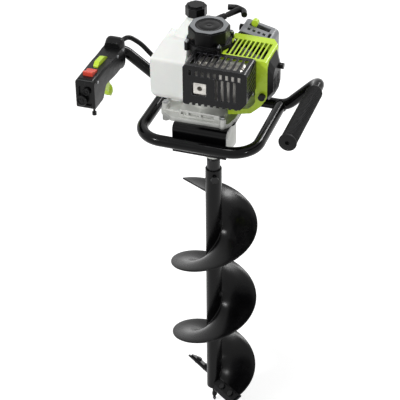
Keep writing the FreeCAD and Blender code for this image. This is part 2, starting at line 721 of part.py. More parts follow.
def cylinder():
    """Finned barrel with the head in one piece; ports on both sides."""
    cx, cy = CRANK.x, CRANK.y
    foot = cx + 36
    head = cx + CRANK_STROKE / 2 + ROD_LENGTH + 16 + 1
    top = head + 11
    barrel = rod(BORE_D / 2 + 5, Vector(foot, cy, CYLINDER_Z), Vector(top, cy, CYLINDER_Z))
    half = FIN_SIZE / 2
    fins = [slab_x(rectangle(cy - 33, cy + 33, CYLINDER_Z - 33, CYLINDER_Z + 33), 6, foot, foot + 5)]
    pitch = (top - foot - 14) / (FIN_COUNT - 1)
    square = rectangle(cy - half, cy + half, CYLINDER_Z - half, CYLINDER_Z + half)
    for i in range(FIN_COUNT):
        low = foot + 12 + i * pitch
        fins.append(slab_x(square, 9, low, low + FIN_T))
    exhaust = Vector(cx + 72, cy, CYLINDER_Z)
    inlet = Vector(cx + 58, cy, CYLINDER_Z)
    ports = [
        slab_y(rectangle(exhaust.x - 16, exhaust.x + 16, CYLINDER_Z - 14, CYLINDER_Z + 14), 5,
               cy - half - 3, cy - 15),
        slab_y(rectangle(inlet.x - 16, inlet.x + 16, CYLINDER_Z - 14, CYLINDER_Z + 14), 5,
               cy + 15, cy + half + 3),
    ]
    outside = joined([barrel] + fins + ports)
    cuts = [
        rod(BORE_D / 2, Vector(foot - 1, cy, CYLINDER_Z), Vector(head, cy, CYLINDER_Z)),
        rod(7.1, Vector(head - 1, cy, CYLINDER_Z), Vector(top + 1, cy, CYLINDER_Z)),
        rod(8, exhaust, exhaust - Y_AXIS * 60),
        rod(8, inlet, inlet + Y_AXIS * 60),
    ]
    return outside.cut(cuts)


def plug_seat():
    return CRANK.x + CRANK_STROKE / 2 + ROD_LENGTH + 28


def spark_plug():
    x = plug_seat()
    profile = [(0, -10), (7, -10), (7, 0), (9.5, 0), (9.5, 8), (6.5, 9), (5.5, 24), (3, 24),
               (3, 29), (0, 29)]
    plug = turned(profile)
    plug.rotate(ORIGIN, Y_AXIS, 90)
    plug.translate(Vector(x, CRANK.y, CYLINDER_Z))
    return plug


def plug_cap():
    """Rubber boot on the spark plug, with its elbow for the lead."""
    x = plug_seat()
    centre = Vector(x, CRANK.y, CYLINDER_Z)
    boot = rod(10, centre + X_AXIS * 13, centre + X_AXIS * 35)
    elbow = rod(7, centre + X_AXIS * 27, centre + Vector(27, 0, 20))
    hollow = turned([(0, 12), (6.9, 12), (5.8, 24.4), (3.3, 24.4), (3.3, 29.4), (0, 29.4)])
    hollow.rotate(ORIGIN, Y_AXIS, 90)
    hollow.translate(centre)
    return joined([boot, elbow]).cut(hollow)


def flywheel():
    """Flywheel with a ring of cooling blades on its upper face."""
    z = FLYWHEEL_Z
    radius = FLYWHEEL_D / 2
    disc = turned([(CLUTCH_SHAFT_D / 2, z - 4), (16, z - 4), (18, z), (radius, z), (radius, z + 4),
                   (14, z + 4), (14, z + 12), (CLUTCH_SHAFT_D / 2, z + 12)], CRANK)
    parts = [disc]
    blade_count = 10
    for i in range(blade_count):
        blade = box(22, radius - 1, -1.25, 1.25, z + 3, z + 18)
        blade.rotate(Vector(22, 0, 0), UP, 25)
        blade.rotate(ORIGIN, UP, 360 / blade_count * i)
        blade.translate(Vector(CRANK.x, CRANK.y, 0))
        parts.append(blade)
    return joined(parts)


FAN_R = FLYWHEEL_D / 2 + 4 + SHELL_T


def fan_housing():
    """Black moulding around the flywheel, with the duct that feeds the cylinder."""
    z0 = CRANKCASE_TOP
    z1 = STARTER_BOTTOM
    inside = FAN_R - SHELL_T
    outer = post(FAN_R, CRANK, z0, z1)
    duct_end = CRANK.x + FAN_R + 9
    duct = box(CRANK.x, duct_end, CRANK.y - 34, CRANK.y + 38, z0, z1 - 14)
    inner = post(inside, CRANK, z0 - 1, z1 - SHELL_T)
    duct_in = box(CRANK.x, duct_end + 1, CRANK.y - 31.5, CRANK.y + 35.5, z0 + 3, z1 - 14 - SHELL_T)
    eye = post(30, CRANK, z1 - SHELL_T - 1, z1 + 1)
    ears = [post(EAR_R, spot, z1 - 12, z1) for spot in starter_screw_spots()]
    holes = [post(STARTER_SCREW_D / 2, spot, z1 - 13, z1 + 1) for spot in starter_screw_spots()]
    return joined([outer, duct] + ears).cut([inner, duct_in, eye] + holes)


# ---------------------------------------------------------------- recoil starter
STARTER_SCREW_ANGLES = (-48, 42, 132, 222)
STARTER_SCREW_D = 4.8
EAR_R = 6.0
EAR_H = 6.0


def octagon(across, z0, z1, corner_r):
    corner = across / 2 / math.cos(math.radians(22.5))
    outline = []
    for i in range(8):
        angle = math.radians(22.5 + 45 * i)
        outline.append((CRANK.x + corner * math.cos(angle), CRANK.y + corner * math.sin(angle)))
    return slab_z(outline, corner_r, z0, z1)


def starter_screw_spots():
    spots = []
    for angle in STARTER_SCREW_ANGLES:
        turn = math.radians(angle)
        spots.append(CRANK + Vector(math.cos(turn), math.sin(turn), 0) * (FAN_R + 2.5))
    return spots


def rope_point(distance, z):
    return at_height(ROPE_START + PULL * distance, z)


ROPE_Z = 1033.0
ROPE_D = 3.2
ROPE_EXIT = 58.0
HANDLE_START = 66.0


def starter_housing():
    """Faceted cup over the reel, with its screw ears, rope guide and bare top disc seat."""
    wall = octagon(STARTER_D, STARTER_BOTTOM, STARTER_TOP - 3, 4)
    crown = octagon(STARTER_D - 4, STARTER_TOP - 4, STARTER_TOP, 3)
    foot = post(FAN_R, CRANK, STARTER_BOTTOM, STARTER_BOTTOM + 3)
    ears = [post(EAR_R, spot, STARTER_BOTTOM, STARTER_BOTTOM + EAR_H) for spot in starter_screw_spots()]
    guide = rod(7.5, rope_point(25, ROPE_Z), rope_point(ROPE_EXIT, ROPE_Z))
    outside = joined([wall, crown, foot, guide] + ears)
    cuts = [
        octagon(STARTER_D - 6, STARTER_BOTTOM - 1, STARTER_TOP - 8, 3),
        post(29.5, CRANK, STARTER_TOP - 1.5, STARTER_TOP + 1),
        rod(ROPE_D / 2 + 1.2, rope_point(0, ROPE_Z), rope_point(ROPE_EXIT + 1, ROPE_Z)),
    ]
    cuts += [post(STARTER_SCREW_D / 2, spot, STARTER_BOTTOM - 1, STARTER_BOTTOM + EAR_H + 1)
             for spot in starter_screw_spots()]
    post_centre = post(5, CRANK, STARTER_TOP - 24, STARTER_TOP - 6)
    return joined([outside.cut(cuts), post_centre])


def starter_reel():
    low = ROPE_Z - 7
    high = ROPE_Z + 2.8
    bore = 5 + RUN_FIT
    return turned([
        (bore, low - 6), (16, low - 6), (16, low), (34, low), (34, low + 2), (REEL_ROPE_R - 3, low + 2),
        (REEL_ROPE_R - 3, high - 1), (34, high - 1), (34, high), (bore, high),
    ], CRANK)


def starter_rope():
    return rod(ROPE_D / 2, rope_point(8, ROPE_Z), rope_point(HANDLE_START + 12, ROPE_Z))


def starter_handle():
    """T grip: a flared stem with a ball end and a swept crossbar."""
    stem = turned([(0, 0), (7, 0), (7, 6), (5, 8), (5, 12), (6, 14), (7, 50), (0, 50)])
    stem = stem.cut(rod(ROPE_D / 2, Vector(0, 0, -1), Vector(0, 0, 20)))
    bar = pipe([Vector(-25, 0, 40), Vector(-11, 0, 52), Vector(11, 0, 52), Vector(25, 0, 40)],
               12, 6.5)
    grip = joined([stem, bar])
    grip.rotate(ORIGIN, X_AXIS, -90)
    grip.rotate(ORIGIN, UP, PULL_ANGLE - 90)
    grip.translate(rope_point(HANDLE_START - 7.5, ROPE_Z))
    return grip


def casing_screws():
    """Identical screws of the starter, the muffler guard and the control handle."""
    screws = []
    for spot in starter_screw_spots():
        top = at_height(spot, STARTER_BOTTOM + EAR_H)
        screws.append(screw(top, top - UP * 14, STARTER_SCREW_D, 9, 4))
    for y in CONTROL_SCREW_Y:
        start = Vector(HANDLE_LEFT + CONTROL_W / 2, y, CONTROL_SCREW_Z)
        screws.append(screw(start, start - X_AXIS * 30, 3.6, 7, 1.5))
    return Part.makeCompound(screws)


# ---------------------------------------------------------------- muffler and guard
def muffler():
    cy = CRANK.y
    front = GUARD_FRONT + 14
    rear = cy - FIN_SIZE / 2 - 3
    back = GUARD_REAR - 1.5
    body = slab_y(rectangle(GUARD_LEFT + 14, GUARD_RIGHT - 14, GUARD_BOTTOM + 12, GUARD_TOP - 12), 14,
                  front, back)
    neck = slab_y(rectangle(CRANK.x + 58, CRANK.x + 86, CYLINDER_Z - 13, CYLINDER_Z + 13), 5,
                  back - 2, rear)
    seam = slab_y(rectangle(GUARD_LEFT + 12, GUARD_RIGHT - 12, GUARD_BOTTOM + 10, GUARD_TOP - 10), 15,
                  (front + back) / 2 - 1.5, (front + back) / 2 + 1)
    outlet = slab_y(rectangle(-8, 20, 941, 967), 3, GUARD_FRONT + 3.5, front + 1)
    gas = rod(5.5, Vector(6, GUARD_FRONT, 954), Vector(6, front + 8, 954))
    return joined([body, neck, seam, outlet]).cut(gas)


def guard_block(inset, front_inset):
    x0 = GUARD_LEFT + inset
    x1 = GUARD_RIGHT - inset
    z0 = GUARD_BOTTOM + inset
    z1 = GUARD_TOP - inset
    outline = [(x0, z0), (x1 - 16, z0 + 4), (x1, z0 + 24), (x1, z1), (x0, z1)]
    return slab_y(outline, [6, 8, 8, 9, 9], GUARD_FRONT + front_inset, GUARD_REAR)


def muffler_guard():
    """Slotted heat guard, open towards the engine, with a tooth rail along its foot."""
    shell = guard_block(0, 0).cut(guard_block(SHELL_T, SHELL_T).fuse(
        box(GUARD_LEFT + 5, GUARD_RIGHT - 5, GUARD_REAR - 1, GUARD_REAR + 1, 920, 1000)))
    cuts = []
    slot_count = 9
    slot_pitch = (GUARD_RIGHT - GUARD_LEFT - 20) / slot_count
    for i in range(slot_count):
        x = GUARD_LEFT + 13 + i * slot_pitch
        cuts.append(box(x, x + 8, GUARD_FRONT + 8, GUARD_REAR - 10, GUARD_TOP - 4, GUARD_TOP + 1))
        cuts.append(box(x, x + 6.5, GUARD_FRONT - 1, GUARD_FRONT + 4, GUARD_TOP - 23, GUARD_TOP - 11))
        cuts.append(box(x, x + 7, GUARD_FRONT - 1, GUARD_FRONT + 8, GUARD_BOTTOM - 1, GUARD_BOTTOM + 6))
    for x in (43, 56, 69, 82):
        cuts.append(slab_y(rectangle(x - 3, x + 3, 934, 984), 2.9, GUARD_FRONT - 1, GUARD_FRONT + 4))
    cuts.append(box(-10, 22, GUARD_FRONT - 1, GUARD_FRONT + 4, 939, 969))
    for i in range(7):
        z = GUARD_BOTTOM + 16 + i * 10.5
        strip = slab_x([(-98, z), (-98, z + 5), (-54, z + 13), (-54, z + 8)], 0,
                       GUARD_RIGHT - 5, GUARD_RIGHT + 1)
        cuts.append(strip)
    return shell.cut(cuts)


# ---------------------------------------------------------------- cylinder shroud
def shroud_profile(inset, y0, y1):
    outline = [
        (30 + inset, SHROUD_TOP - inset), (SHROUD_RIGHT - inset, SHROUD_TOP - 1 - inset),
        (SHROUD_RIGHT - inset, 916), (SHROUD_RIGHT - 14, 893 + inset), (97, 873 + inset),
        (40 + inset, 860 + inset),
    ]
    block = slab_y(outline, [0, 7, 16, 12, 10, 0], y0, y1)
    across = SHROUD_RIGHT - 16 - inset
    corner = [(across, SHROUD_REAR + 1), (SHROUD_RIGHT + 1, SHROUD_REAR + 1), (SHROUD_RIGHT + 1, SHROUD_REAR - 23 - inset)]
    return block.cut(slab_z(corner, 0, 850, SHROUD_TOP + 1))


def cylinder_shroud():
    """Cowl around the finned cylinder: slotted roof, side band and foot strip."""
    shell = shroud_profile(0, SHROUD_FRONT, SHROUD_REAR)
    inner = shroud_profile(SHELL_T, SHROUD_FRONT + SHELL_T, SHROUD_REAR - SHELL_T)
    left = box(20, 46, SHROUD_FRONT - 1, SHROUD_REAR + 1, 850, SHROUD_TOP - 20)
    window = slab_y([(20, SHROUD_TOP - 10), (106, SHROUD_TOP - 10), (106, 900), (92, 884), (20, 871)],
                    [0, 10, 14, 10, 0], SHROUD_FRONT - 1, SHROUD_FRONT + 4)
    rear = slab_y(rectangle(20, 104, 880, SHROUD_TOP - 24), 8, SHROUD_REAR - 4, SHROUD_REAR + 1)
    mouth = box(20, 34, SHROUD_FRONT + SHELL_T, SHROUD_REAR - SHELL_T, 850, SHROUD_TOP - SHELL_T - 1)
    scoop = post(FAN_R + GAP, CRANK, 970, SHROUD_TOP + 1)
    cuts = [inner, left, window, rear, mouth, scoop]
    cuts += [post(EAR_R + GAP, spot, 970, SHROUD_TOP + 1) for spot in starter_screw_spots()[:2]]
    start, along = knob_places()[1]
    cuts.append(rod(3, start - along * 9, start + along))
    cuts.append(slab_x(rectangle(SHROUD_FRONT + 14, SHROUD_REAR - 30, 915, 975), 10,
                       SHROUD_RIGHT - 5, SHROUD_RIGHT + 1))
    for i in range(9):
        x = 37 + i * 9.6
        cuts.append(box(x, x + 6.4, SHROUD_FRONT + 10, SHROUD_REAR - 22, 990, SHROUD_TOP + 1))
    return shell.cut(cuts)


def end_cover_points(shrink, x):
    """Eight-sided outline of the end cover, drawn in by one value all round."""
    y0 = SHROUD_FRONT + 1 + shrink
    y1 = SHROUD_REAR - 24 - shrink
    z0 = 905 + shrink
    z1 = 999 - shrink * 2
    cut = 12
    points = [(y0, z0 + cut), (y0, z1 - cut), (y0 + cut, z1), (y1 - cut, z1),
              (y1, z1 - cut), (y1, z0 + cut), (y1 - cut, z0), (y0 + cut, z0)]
    return [Vector(x, y, z) for y, z in points]


def end_cover_block(inset):
    """Loft from the shroud's side out to a smaller end face."""
    x0 = SHROUD_RIGHT + GAP if inset == 0 else SHROUD_RIGHT - 1
    depth = END_COVER_DEPTH - inset
    wide = rounded_path(end_cover_points(inset, x0), 5, True)
    tip = rounded_path(end_cover_points(11 + inset, SHROUD_RIGHT + depth), 5, True)
    return Part.makeLoft([wide, tip], True, True)


def shroud_end_cover():
    """Black cap over the spark plug, with upright cooling slots in its end."""
    shell = end_cover_block(0).cut(end_cover_block(SHELL_T))
    cuts = []
    for i in range(4):
        y = SHROUD_FRONT + 17 + i * 11
        cuts.append(box(SHROUD_RIGHT + END_COVER_DEPTH - 6, SHROUD_RIGHT + END_COVER_DEPTH + 1,
                        y, y + 5, 924, 956))
    seat, along = knob_places()[0]
    cuts.append(rod(3, seat - along * 12, seat + along))
    return shell.cut(cuts)


def knob_places():
    """Seat and direction of the knobs on the end cover, on the shroud's corner and on the filter cover."""
    return [(Vector(SHROUD_RIGHT + END_COVER_DEPTH, 18, 966), X_AXIS),
            (Vector(SHROUD_RIGHT - 10, SHROUD_FRONT, 920), Y_AXIS * -1),
            (Vector(FILTER_LEFT, 124, 984), X_AXIS * -1)]


def cover_knobs():
    """Three hand knobs that hold the end cover, the shroud and the filter cover."""
    knobs = []
    for (seat, along), radius in zip(knob_places(), (6.5, 7.5, 7.5)):
        knobs.append(joined([rod(radius, seat, seat + along * 9), rod(3, seat - along * 9, seat)]))
    return Part.makeCompound(knobs)


# ---------------------------------------------------------------- carburettor and filter
CABLE_END_Z = CYLINDER_Z + 22
CARB_BOWL_R = 13.0


def carburettor():
    """Body with its bore, float bowl, throttle lever boss and flange to the inlet."""
    x = CRANK.x + 58
    y0 = CRANK.y + FIN_SIZE / 2 + 3
    y1 = FILTER_FRONT
    flange = slab_y(rectangle(x - 16, x + 16, CYLINDER_Z - 14, CYLINDER_Z + 14), 5, y0, y0 + 8)
    body = slab_y(rectangle(x - 15, x + 15, CYLINDER_Z - 16, CYLINDER_Z + 16), 4, y0 + 8, y1)
    bowl = post(CARB_BOWL_R, Vector(x, y0 + 19, 0), CYLINDER_Z - 26, CYLINDER_Z)
    boss = rod(7, Vector(x - 26, y0 + 19, CABLE_END_Z), Vector(x + 8, y0 + 19, CABLE_END_Z))
    web = box(x - 8, x + 8, y0 + 14, y0 + 24, CYLINDER_Z, CABLE_END_Z)
    bore = rod(8, Vector(x, y0 - 1, CYLINDER_Z), Vector(x, y1 + 1, CYLINDER_Z))
    seat_end = Vector(x - 27, y0 + 19, CYLINDER_Z - 4)
    primer_seat = rod(11, seat_end, seat_end + X_AXIS * 27)
    recess = rod(9 + SLIDE_FIT, seat_end - X_AXIS, seat_end + X_AXIS * 6)
    return joined([flange, body, bowl, boss, web, primer_seat]).cut([bore, recess])


def primer_bulb():
    """Rubber dome that is pressed to draw fuel through."""
    x = CRANK.x + 58 - 27 - GAP
    y = CRANK.y + FIN_SIZE / 2 + 22
    bulb = turned([(0, 0), (9, 0), (9, 2.5), (7.5, 3), (7, 7), (5, 10), (2.5, 11.5), (0, 12)])
    bulb.rotate(ORIGIN, Y_AXIS, -90)
    bulb.translate(Vector(x, y, CYLINDER_Z - 4))
    return bulb


def filter_profile(inset, y0, y1):
    x0 = FILTER_LEFT + inset
    x1 = FILTER_RIGHT - inset
    outline = [(x0, FILTER_BOTTOM), (x1, FILTER_BOTTOM), (x1, FILTER_TOP - FILTER_FALL - inset),
               (x0, FILTER_TOP - inset)]
    return slab_y(outline, [4, 4, 12, 8], y0, y1)


def filter_base():
    """Back plate of the filter housing, on the carburettor's mouth."""
    x = CRANK.x + 58
    plate = filter_profile(4, FILTER_FRONT, FILTER_FRONT + 4)
    rim = filter_profile(7, FILTER_FRONT + 4, FILTER_FRONT + 12).cut(
        filter_profile(10, FILTER_FRONT + 3, FILTER_FRONT + 13))
    mouth = rod(8, Vector(x, FILTER_FRONT - 1, CYLINDER_Z), Vector(x, FILTER_FRONT + 5, CYLINDER_Z))
    pivot = Vector(CHOKE_X, FILTER_FRONT - 1, CHOKE_PIVOT_Z)
    pin_hole = rod(CHOKE_PIN_R + RUN_FIT, pivot, pivot + Y_AXIS * 8)
    return joined([plate, rim]).cut([mouth, pin_hole])


def filter_element():
    x0 = FILTER_LEFT + 16
    x1 = FILTER_RIGHT - 16
    return slab_y(rectangle(x0, x1, FILTER_BOTTOM + 12, FILTER_TOP - FILTER_FALL - 22), 8,
                  FILTER_FRONT + 12, FILTER_FRONT + 34)


CHOKE_X = 56.0
CHOKE_Y = 124.0
CHOKE_PIVOT_Z = 972.0
CHOKE_PIN_R = 3.5


def filter_cover():
    """Grey cap over the filter with the sunken choke window and a row of small vents."""
    shell = filter_profile(0, FILTER_FRONT, FILTER_REAR).cut([
        filter_profile(SHELL_T, FILTER_FRONT - 1, FILTER_REAR - SHELL_T),
    ])
    top = FILTER_TOP + 1
    cuts = [box(45, 90, 114, 130, 976, top)]
    for i in range(4):
        x = 45.5 + i * 11.2
        cuts.append(box(x, x + 6.5, 94, 103, 976, top))
    cuts.append(slab_z([(91, 92), (97, 92), (97, 112), (91, 112)], 2.9, 973, top))
    seat, along = knob_places()[2]
    cuts.append(rod(3, seat - along * 9, seat + along))
    return shell.cut(cuts)


def choke_lever():
    """Lever with a round finger pad that rocks in the cover's window."""
    pivot = Vector(CHOKE_X, CHOKE_Y - 5, CHOKE_PIVOT_Z)
    hub = rod(CHOKE_PIN_R, Vector(CHOKE_X, FILTER_FRONT + 1, CHOKE_PIVOT_Z), pivot + Y_AXIS * 6)
    stalk = box(CHOKE_X - 2.5, CHOKE_X + 2.5, CHOKE_Y - 4, CHOKE_Y, CHOKE_PIVOT_Z, 1000)
    pad = rod(7.5, Vector(CHOKE_X, CHOKE_Y - 7, 1001), Vector(CHOKE_X, CHOKE_Y + 5, 1001))
    return joined([hub, stalk, pad])


# ---------------------------------------------------------------- fuel tank
def tank_block(inset):
    """Tank body: the side outline and the front outline cut each other."""
    y0 = TANK_FRONT + inset
    y1 = TANK_REAR - inset
    x0 = TANK_LEFT + inset
    x1 = TANK_RIGHT - inset
    z0 = TANK_BOTTOM + inset
    z1 = TANK_TOP - inset
    side = [(y0, z0), (y1, z0), (y1, TANK_SHOULDER), (66, z1), (20, z1), (y0, TANK_SHOULDER - inset)]
    front = [(x0, z0), (x1, z0), (x1, z1), (x0 + 20, z1), (x0, TANK_SHOULDER - inset)]
    long = slab_x(side, [16, 16, 16, 16, 14, 16], x0, x1)
    wide = slab_y(front, [24, 12, 10, 12, 16], y0, y1)
    engine = post(FAN_R + 1 + inset, CRANK, z0 - 1, z1 + 1)
    return long.common(wide).cut(engine)


def tank_neck(inset):
    low = TANK_TOP - 12
    outline = [(-112 + inset, 22 + inset), (-68 - inset, 16 + inset), (-62 - inset, 84 - inset),
               (-106 + inset, 88 - inset)]
    base = rounded_path([Vector(x, y, low) for x, y in outline], 12, True)
    radius = CAP_D / 2 - 4 - inset
    top = Part.Wire([Part.Circle(Vector(CAP_X, CAP_Y, CAP_Z - 6), UP, radius).toShape()])
    loft = Part.makeLoft([base, top], True, True)
    return joined([loft, post(radius, Vector(CAP_X, CAP_Y, 0), CAP_Z - 6, CAP_Z + 8)])


def fuel_tank():
    outside = joined([tank_block(0), tank_neck(0)])
    inside = tank_block(TANK_WALL).fuse(tank_neck(TANK_WALL))
    mouth = post(CAP_D / 2 - 4 - TANK_WALL, Vector(CAP_X, CAP_Y, 0), CAP_Z, CAP_Z + 10)
    foot = slab_z(rectangle(-96, -66, -10, 40), 8, TANK_BOTTOM - 3, TANK_BOTTOM + 1)
    return joined([outside.cut([inside, mouth]), foot])


def cap_gasket():
    centre = Vector(CAP_X, CAP_Y, 0)
    return ring(CAP_D / 2 - 5, CAP_D / 2 - 4 - TANK_WALL + 0.3, centre, CAP_Z + 8 + GAP, CAP_Z + 10 + GAP)


def fuel_cap():
    """Octagonal screw cap with a raised octagon on its top."""
    centre = Vector(CAP_X - CRANK.x, CAP_Y - CRANK.y, 0)
    body = octagon(CAP_D, CAP_Z, CAP_Z + CAP_H - 4, 3)
    raised = octagon(CAP_D - 12, CAP_Z + CAP_H - 5, CAP_Z + CAP_H, 2)
    for shape in (body, raised):
        shape.translate(centre)
    neck_r = CAP_D / 2 - 4 + SLIDE_FIT
    hollow = post(neck_r, Vector(CAP_X, CAP_Y, 0), CAP_Z - 1, CAP_Z + 10 + 2 * GAP)
    return joined([body, raised]).cut(hollow)


def fuel_hose():
    """Hose from the tank's inner side to the carburettor."""
    points = [
        Vector(TANK_RIGHT + 1, 80, 880), Vector(-30, 82, 880), Vector(0, 78, 892),
        Vector(18, 70, 905), Vector(30, CRANK.y + FIN_SIZE / 2 + 22, 918),
        Vector(36, CRANK.y + FIN_SIZE / 2 + 22, 922),
    ]
    bowl = post(CARB_BOWL_R, Vector(CRANK.x + 58, CRANK.y + FIN_SIZE / 2 + 22, 0), 900, CYLINDER_Z)
    return pipe(points, [0, 30, 30, 20, 5, 0], 3).cut(bowl)


# ---------------------------------------------------------------- control handle
CONTROL_SCREW_Y = (-66.0, 52.0, 84.0)
CONTROL_SCREW_Z = CONTROL_TOP - 11
CABLE_START = Vector(HANDLE_LEFT + 4, CONTROL_REAR - 2, 905)
TRIGGER_PIVOT = (-34.0, 866.0)
LOCKOUT_PIVOT = (30.0, 908.0)
PIVOT_PIN_R = 1.5
SWITCH_PIVOT = (-52.0, 914.0)


def control_outline():
    return [
        (CONTROL_FRONT, CONTROL_BOTTOM + 6), (CONTROL_FRONT, CONTROL_TOP + 2), (-30, CONTROL_TOP),
        (40, CONTROL_TOP - 6), (CONTROL_REAR - 14, CONTROL_TOP - 5), (CONTROL_REAR, CONTROL_TOP),
        (CONTROL_REAR, CONTROL_BOTTOM + 24), (CONTROL_REAR - 14, CONTROL_BOTTOM + 26),
        (36, CONTROL_BOTTOM + 27), (-20, CONTROL_BOTTOM + 34), (-38, CONTROL_BOTTOM + 8),
        (-50, CONTROL_BOTTOM),
    ]


def control_body():
    x0 = HANDLE_LEFT - CONTROL_W / 2
    x1 = HANDLE_LEFT + CONTROL_W / 2
    block = slab_x(control_outline(), [6, 6, 10, 20, 4, 4, 4, 4, 12, 12, 8, 6], x0, x1)
    section = slab_y(rectangle(x0, x1, CONTROL_BOTTOM, CONTROL_TOP + 3), 11,
                     CONTROL_FRONT - 1, CONTROL_REAR + 1)
    return block.common(section)


def control_cavities():
    x = HANDLE_LEFT
    half = CONTROL_W / 2 - CONTROL_WALL
    bore = rod(TUBE_R, Vector(x, CONTROL_FRONT + 60, HANDLE_Z), Vector(x, CONTROL_REAR + 1, HANDLE_Z))
    front = box(x - half, x + half, -76, CONTROL_FRONT + 60, CONTROL_BOTTOM + 8, CONTROL_TOP - 4)
    trigger_slot = box(x - 8, x + 8, -32, 40, CONTROL_BOTTOM, 872)
    lever_slot = box(x - 6.5, x + 6.5, -26, 37, 899, CONTROL_TOP + 5)
    switch_y = SWITCH_PIVOT[0]
    switch_slot = box(x - 12, x + 12, switch_y - 16, switch_y + 16, 903, CONTROL_TOP + 5)
    pin_hole = post(2.9, Vector(x + 8, -60, 0), CONTROL_BOTTOM - 4, CONTROL_BOTTOM + 12)
    face_recess = slab_y(rectangle(x - 15, x + 15, CONTROL_BOTTOM + 14, CONTROL_TOP - 14), 6,
                         CONTROL_FRONT - 1, CONTROL_FRONT + 4)
    cable = rod(CABLE_D / 2 + 0.1, CABLE_START - Y_AXIS * 0.1, CABLE_START + Y_AXIS * 12)
    return [bore, front, trigger_slot, lever_slot, switch_slot, pin_hole, face_recess, cable]


def control_half(side):
    x0 = HANDLE_LEFT - 40 if side < 0 else HANDLE_LEFT
    keep = box(x0, x0 + 40, CONTROL_FRONT - 5, CONTROL_REAR + 5, CONTROL_BOTTOM - 5, CONTROL_TOP + 10)
    half = control_body().cut(control_cavities()).common(keep)
    holes = []
    for y in CONTROL_SCREW_Y:
        start = Vector(HANDLE_LEFT + CONTROL_W / 2 + 1, y, CONTROL_SCREW_Z)
        holes.append(rod(1.8, start, start - X_AXIS * 32))
    pins = []
    for y, z in (TRIGGER_PIVOT, LOCKOUT_PIVOT):
        middle = Vector(HANDLE_LEFT, y, z)
        pins.append(rod(PIVOT_PIN_R, middle, middle + X_AXIS * side * (CONTROL_W / 2 - CONTROL_WALL + 1)))
    return joined([half.cut(holes)] + pins)


def control_handle_outer():
    return control_half(-1)


def control_handle_inner():
    return control_half(1)


def throttle_trigger():
    """Curved finger lever that turns about its upper front corner."""
    y, z = TRIGGER_PIVOT
    x = HANDLE_LEFT
    outline = [(y - 5, z + 3), (y + 5, z + 4), (y + 42, z - 7), (y + 67, z - 20), (y + 83, z - 38),
               (y + 85, z - 54), (y + 76, z - 62), (y + 68, z - 52), (y + 62, z - 40), (y + 48, z - 28),
               (y + 24, z - 20), (y - 3, z - 12)]
    lever = slab_x(outline, [3, 4, 20, 12, 10, 6, 5, 8, 14, 16, 12, 5], x - 7, x + 7)
    return lever.cut(rod(PIVOT_PIN_R + RUN_FIT, Vector(x - 8, y, z), Vector(x + 8, y, z)))


def lockout_lever():
    """Palm lever in the top of the handle that frees the trigger."""
    y, z = LOCKOUT_PIVOT
    x = HANDLE_LEFT
    outline = [(y + 4, z - 2), (y + 4, z + 2), (18, z + 11), (-12, z + 14), (-22, z + 7), (-22, z - 2)]
    lever = slab_x(outline, [1.8, 1.8, 8, 6, 4, 1.8], x - 5.5, x + 5.5)
    hub = rod(3, Vector(x - 5.5, y, z), Vector(x + 5.5, y, z))
    return joined([lever, hub]).cut(rod(PIVOT_PIN_R + RUN_FIT, Vector(x - 8, y, z), Vector(x + 8, y, z)))


def stop_switch():
    """Rocker with a hollow top face."""
    y, z = SWITCH_PIVOT
    x = HANDLE_LEFT
    return slab_x([(y - 14, z - 4), (y + 14, z - 4), (y + 14, z + 4), (y, z + 5), (y - 14, z + 12)],
                  [2, 2, 2, 16, 2], x - 11, x + 11)


def throttle_lock_pin():
    """Small push pin that holds the trigger at part throttle."""
    spot = Vector(HANDLE_LEFT + 8, -60, 0)
    return joined([post(2.5, spot, 822, CONTROL_BOTTOM + 10), post(5, spot, 816, 823)])


def throttle_cable():
    """Sleeve from the handle's rear down the left arm to the carburettor."""
    y_end = CRANK.y + FIN_SIZE / 2 + 22
    x_end = CRANK.x + 58 - 26
    points = [
        CABLE_START, Vector(HANDLE_LEFT + 4, 119, 905),
        Vector(HANDLE_LEFT + 14, 142, 906), Vector(HANDLE_LEFT + 40, 150, 888),
        Vector(-190, 150, 856), Vector(-152, 148, 836), Vector(-112, 138, 838),
        Vector(-72, 126, 856), Vector(-38, 112, 886), Vector(-16, 94, 920),
        Vector(-8, 76, 950), Vector(4, y_end, CABLE_END_Z), Vector(x_end, y_end, CABLE_END_Z),
    ]
    runs = [(points[i + 1] - points[i]) for i in range(len(points) - 1)]
    bends = [0.0]
    for before, after in zip(runs, runs[1:]):
        half = before.getAngle(after) / 2
        bends.append(0.45 * min(before.Length, after.Length) / math.tan(half))
    bends.append(0.0)
    print("throttle cable radii:", [round(b) for b in bends[1:-1]])
    cable = pipe(points, bends, CABLE_D / 2)
    length = rounded_path(points, bends, False).Length
    print("cable volume ratio:", round(cable.Volume / (math.pi * CABLE_D ** 2 / 4 * length), 4))
    return cable


# ---------------------------------------------------------------- auger bit
def auger_stem():
    """Tube that carries the flight, with a socket for the output shaft at its top."""
    outside = turned([(0, STEM_BOTTOM), (STEM_R, STEM_BOTTOM), (STEM_R, STEM_TOP - 1),
                      (STEM_R - 1, STEM_TOP), (0, STEM_TOP)])
    socket_r = COUPLING_D / 2 + 0.02
    cuts = [
        post(STEM_BORE_R, ORIGIN, STEM_BOTTOM + 40, STEM_TOP - SOCKET_DEPTH - 8),
        post(socket_r, ORIGIN, STEM_TOP - SOCKET_DEPTH - 8, STEM_TOP + 1),
        post(6.1, ORIGIN, STEM_BOTTOM - 1, STEM_BOTTOM + 30),
        pin_hole(),
    ]
    return outside.cut(cuts)


